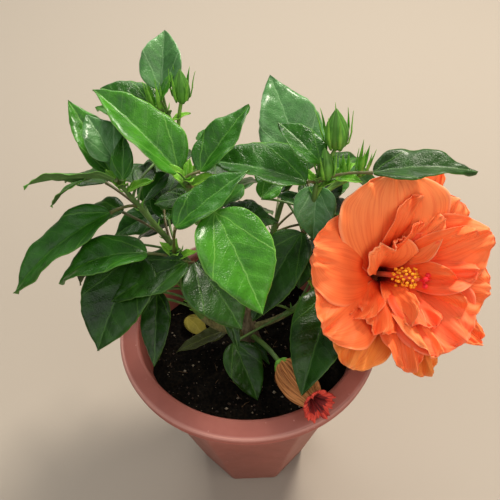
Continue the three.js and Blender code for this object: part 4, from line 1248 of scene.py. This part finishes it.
# petal: thin, matt and faintly silky; blood red in the throat, coral orange outwards, peach at the very edge
def petalMaterial(name, edge, *stops):
    material, add = newMaterial(name)
    blade = add("UVMap", {"uv_map": "blade"})
    span = add("UVMap", {"uv_map": "span"})
    split = add("SeparateXYZ", {"Vector": blade})
    body = colourSteps(add, split.outputs["Y"], ((0.1, "#7A0A04"),) + stops)
    # fine veins that fan out from the root, about 1.5 mm apart at the edge
    fan = add("Mapping", {"Vector": span, "Scale": (46, 2.2, 1)})
    streaks = add("TexNoise", {"Vector": fan, "Scale": 1, "Detail": 4, "Roughness": 0.6})
    line = add("MapRange", {"Value": streaks, "From Min": 0.56, "From Max": 0.36, "To Max": 0.4})
    veined = add("MixRGB", {"Fac": line, "Color1": body, "Color2": "#E2481E"})
    across, along, _ = add("SeparateXYZ", {"Vector": span}).outputs
    outer = offMiddle(add, across)
    rim = add("MapRange", {"Value": outer, "From Min": 0.46, "From Max": 0.5, "To Max": 0.5})
    tip = add("MapRange", {"Value": along, "From Min": 0.96, "From Max": 1.0, "To Max": 0.5})
    border = add("Math", {"operation": "MAXIMUM", 0: rim, 1: tip})
    edged = add("MixRGB", {"Fac": border, "Color1": veined, "Color2": edge})
    bump = add("Bump", {"Height": streaks, "Strength": 0.35, "Distance": 0.0005})
    return surface(material, {
        "Base Color": edged, "Roughness": 0.62, "Specular IOR Level": 0.3, "Normal": bump})


petalMaterials = [
    petalMaterial("petalCoral", "#FFA676", (0.22, "#D42C0E"), (0.4, "#F85A20"), (0.9, "#FF7C40")),
    petalMaterial("petalAmber", "#FFB27A", (0.26, "#DC4412"), (0.5, "#EE7426"), (0.95, "#F4903E")),
    petalMaterial("petalPeachAndLit", "#FFB68A", (0.22, "#E4481A"), (0.4, "#FF7C3C"), (0.95, "#FF8E50")),
    petalMaterial("petalRose", "#FFA27C", (0.22, "#D42C12"), (0.4, "#F6582A"), (0.9, "#FF7444")),
]
# smaller crumpled petals that fill the gaps between the others
fillerPetals = [
    (64, 9, 80, 36, 14, 70, 24, 3, 0.3),
    (40, 12, 70, 28, 18, 66, -30, 3, 0.3),
    (14, 12, 82, 32, 18, 72, 28, 3, 0.5),
    (346, 14, 74, 34, 18, 70, -18, 3, 0.2),
    (312, 12, 72, 32, 20, 72, 34, 4, 0.1),
    (276, 8, 84, 34, 18, 76, -26, 4, 0.2),
    (206, 13, 62, 30, 20, 72, 46, 3, 0.2),
]
# the finish of each petal: coral, amber, peach or rose; peach is a lighter copy, partly the petals' real
# peach tone and partly painted light, given to the top petal and to inner petals that lie in the throat's
# shade
petalFinishes = (0, 1, 0, 1, 2, 0, 0, 0, 3, 0, 0, 2, 2, 0, 3, 0, 2, 3, 0, 0, 2, 0, 3, 0, 2, 0)
outerPetals, innerPetals = Bits(), Bits()
for number, (petal, finish) in enumerate(zip(petals + fillerPetals, petalFinishes)):
    finePetal(outerPetals if number < bloomSettings["outerPetals"] else innerPetals, petal, number, finish)
finishPiece(outerPetals.build("petals_outer", petalMaterials), ["bloom_open"])
finishPiece(innerPetals.build("petals_inner", petalMaterials), ["bloom_open"])

columnSettings = {
    "anthers": 64, "stigmas": 5, "spiral": 137.5, "seed": 77, "end": (50, 15, -9), "bare": 0.58,
    "bearing": 0.36, "forward": 0.35, "filament": 3.5, "antherSize": 1.05, "stigmaSize": 2.0,
}


def makeColumn():
    axis, level, upright, foot = bloomFrame()
    c = columnSettings
    ahead, across, rise = c["end"]
    steps = 40
    end = foot + axis * ahead + level * across + upright * rise
    path = bezier(foot + axis * 4, foot + axis * 36, end, steps)
    bits = Bits()
    tube(bits, path, np.interp(np.linspace(0, 1, steps), [0, 0.7, 1], [2.2, 1.8, 1.2]), 14, 0)
    draw = makeRandom(c["seed"])
    for i in range(c["anthers"]):
        k = int((c["bare"] + c["bearing"] * i / c["anthers"]) * (steps - 1))
        root = path[k]
        turn = math.radians(c["spiral"] * i)
        forward = unit(path[k + 1] - path[k - 1])
        first, second = squareTo(forward)
        out = unit(math.cos(turn) * first + math.sin(turn) * second + forward * c["forward"])
        end = root + out * (c["filament"] + 4 * draw())
        tube(bits, bezier(root, (root + end) / 2 + forward * 0.8, end, 5), 0.25, 5, 0)
        addBall(bits, end, c["antherSize"] + 0.4 * draw(), (1, 0.8, 0.8), 1)
    tip = path[-1]
    forward = unit(path[-1] - path[-3])
    first, second = squareTo(forward)
    for i in range(c["stigmas"]):
        turn = 2 * math.pi * i / c["stigmas"] + 0.4
        out = math.cos(turn) * first + math.sin(turn) * second
        end = tip + forward * 5 + out * 4.2
        tube(bits, bezier(tip - forward, tip + forward * 3, end, 6), 0.55, 6, 2)
        addBall(bits, end, c["stigmaSize"], (1, 1, 0.8), 2)
    return bits


def addBall(bits, centre, radius, squash, finish):
    rows, sides = 6, 8
    lat = np.linspace(-math.pi / 2, math.pi / 2, rows + 1)
    turn = fullTurn(sides)
    rings = np.stack([np.outer(np.cos(lat), np.cos(turn)), np.outer(np.cos(lat), np.sin(turn)),
                      np.outer(np.sin(lat), np.ones(sides))], -1)
    bits.add(rings * radius * np.array(squash) + centre, gridFaces(rows + 1, sides, True), finish)


def makeThroat():
    # the petals' claws close round the column as a deep cup
    axis, _, _, foot = bloomFrame()
    bits = Bits()
    profile = [(0.1, 0.2), (5.4, 0.6), (6.4, 3), (8.4, 9), (11, 16), (13.6, 22), (14.6, 24), (13.2, 22.6),
               (10.2, 16), (7.6, 9), (5.4, 3.4), (0.1, 2.6)]
    revolve(bits, foot, axis, profile, 60, 0, 5, 0.03)
    return bits


finishPiece(makeThroat().build("bloom_throat", [petalMaterials[0]]), ["bloom_open"])
column = makeColumn().build("bloom_column", [
    plainMaterial("columnTissue", "#F47A50", 0.5, "#E8603A", 200),
    plainMaterial("pollenAnther", "#FFBE24", 0.8, "#F08C14", 900),
    plainMaterial("velvetStigma", "#F2242E", 0.7, "#D41A24", 900),
])
finishPiece(column, ["bloom_open"])


def bractRing(bits, spot, count, shift, steps, width, spread, climb, lean=0):
    # a ring of equal bracts: each one's path is a spread away from the axis and a climb along it
    foot, axis, first, second = spot
    t = np.linspace(0, 1, steps)[:, None]
    for i in range(count):
        turn = 2 * math.pi * i / count + shift
        out = math.cos(turn) * first + math.sin(turn) * second
        bract(bits, foot + out * spread(t) + axis * climb(t), width, out - axis * lean, 1)


def makeBloomStalk():
    axis, level, upright, foot = bloomFrame()
    bits = Bits()
    profile = [(0.1, -13), (2.4, -12.6), (4.6, -11), (6.8, -8.4), (8.2, -5.5), (8.4, -3), (7.9, -0.6),
               (6.4, -0.4), (0.1, -0.5)]
    revolve(bits, foot, axis, profile, 40, 1, 5, 0.05)
    spot = foot, axis, level, upright
    bractRing(bits, spot, 5, 0, 9, 8, lambda t: 7.6 + 3.2 * t, lambda t: -6 + 15 * t)
    bractRing(bits, spot, 7, 0.3, 8, 1.8, lambda t: 3 + 8 * t, lambda t: -12 + 9 * t * t, 1)
    path = bezier(*bloomStalkCurve(), 36)
    tube(bits, path, np.linspace(2.2, 1.9, 36), 14, 0)
    return bits


finishPiece(makeBloomStalk().build("bloom_stem", [greenStem, greenSepal]), ["bloom_stalk"])
print("open bloom made")

# wilted bloom
wiltedSettings = {"foot": (25, -40, 164.5), "mouth": (45, -85, 184), "radius": 12, "pleats": 10,
                  "lobes": 5, "sides": 160}


def wiltedFrame():
    foot, mouth = np.array(wiltedSettings["foot"], float), np.array(wiltedSettings["mouth"], float)
    axis = unit(mouth - foot)
    return foot, axis, np.linalg.norm(mouth - foot)


def makeWilted():
    w = wiltedSettings
    foot, axis, length = wiltedFrame()
    sides = w["sides"]
    turn = fullTurn(sides)
    bits = Bits()
    outside = [(0, 0.5), (0.05, 0.64), (0.12, 0.8), (0.22, 0.92), (0.32, 0.98), (0.42, 1.0), (0.52, 0.97),
               (0.62, 0.9), (0.72, 0.78), (0.8, 0.66), (0.87, 0.58), (0.92, 0.56)]
    rings = []
    for share, size in outside:
        twist = turn + 0.35 * share
        pleat = 1 + 0.085 * np.sin(w["pleats"] * turn) + 0.04 * np.sin(23 * turn + 1)
        rings.append((w["radius"] * size * pleat, twist, share * length + 0 * turn))
    lobe = 0.5 + 0.5 * np.cos(w["lobes"] * turn)
    frill = 0.05 * np.sin(8 * turn + 1) + 0.04 * np.sin(17 * turn) + 0.025 * np.sin(31 * turn + 2)
    # the mouth: a crumpled ring that turns outwards, then down into the throat
    mouth = [(0.68, 0.06, 0.95, 0.02), (0.84, 0.1, 0.975, 0.03), (0.92, 0.12, 1.0, 0.03),
             (0.82, 0.12, 1.015, 0.02), (0.54, 0.14, 0.97, 0.01), (0.3, 0.1, 0.92, 0), (0.18, 0.05, 0.84, 0),
             (0.05, 0.0, 0.76, 0)]
    for wide, swing, lift, rise in mouth:
        radius = w["radius"] * (wide + swing * lobe + frill * wide)
        rings.append((radius, turn + 0.35, length * (lift + rise * lobe + 0.4 * frill)))
    points = np.array([around(foot, axis, a, r, z) for r, a, z in rings])
    faces = gridFaces(len(rings), sides, True)
    finish = np.digitize(np.arange(len(faces)) // sides, [len(outside) + 1, len(outside) + 4])
    places = paired(turn / (2 * math.pi), np.linspace(0, 1, len(rings))[:, None])
    bits.add(points, faces, finish.tolist(), places)
    return bits


# spent petal: limp and papery, tan orange with brown veins along the pleats
def wiltedMaterial(name, dark, base):
    material, add = newMaterial(name)
    blade = add("UVMap", {"uv_map": "blade"})
    drawn = add("Mapping", {"Vector": blade, "Scale": (52, 2.0, 1)})
    streaks = add("TexNoise", {"Vector": drawn, "Scale": 1, "Detail": 4, "Roughness": 0.65})
    colour = colourSteps(add, streaks, [(0.4, dark), (0.56, base)])
    bump = add("Bump", {"Height": streaks, "Strength": 0.5, "Distance": 0.0008})
    return surface(material, {"Base Color": colour, "Roughness": 0.7, "Normal": bump})


wilted = makeWilted().build("wilted_petals", [
    wiltedMaterial("spentPetal", "#8A4618", "#E09858"), wiltedMaterial("spentMouth", "#A02018", "#E04A36"),
    wiltedMaterial("spentThroat", "#3E080A", "#8E1A18")])
finishPiece(wilted, ["bloom_wilted"])


def makeWiltedStalk():
    foot, axis, _ = wiltedFrame()
    bits = Bits()
    profile = [(0.1, -9), (2, -8.6), (3.8, -6.8), (5.6, -4.4), (6.6, -2.4), (6.4, -0.6), (0.1, -0.4)]
    revolve(bits, foot, axis, profile, 36, 1, 5, 0.06)
    spot = foot, axis, *squareTo(axis)
    bractRing(bits, spot, 5, 0.5, 9, 6, lambda t: 6.2 + 3.0 * t ** 0.7, lambda t: -3 + 12 * t)
    places, _ = trunkPlaces()
    start = places[int(round(2 / 9 * (trunkSettings["rings"] - 1)))]
    end = foot - axis * 7
    bend = (start + end) / 2 + np.array([0, -4, 16])
    tube(bits, bezier(start, bend, end, 30), np.linspace(2.2, 1.8, 30), 12, 0)
    return bits


finishPiece(makeWiltedStalk().build("wilted_stem", [greenStem, greenSepal]), ["wilted_stalk"])
print("wilted bloom made")
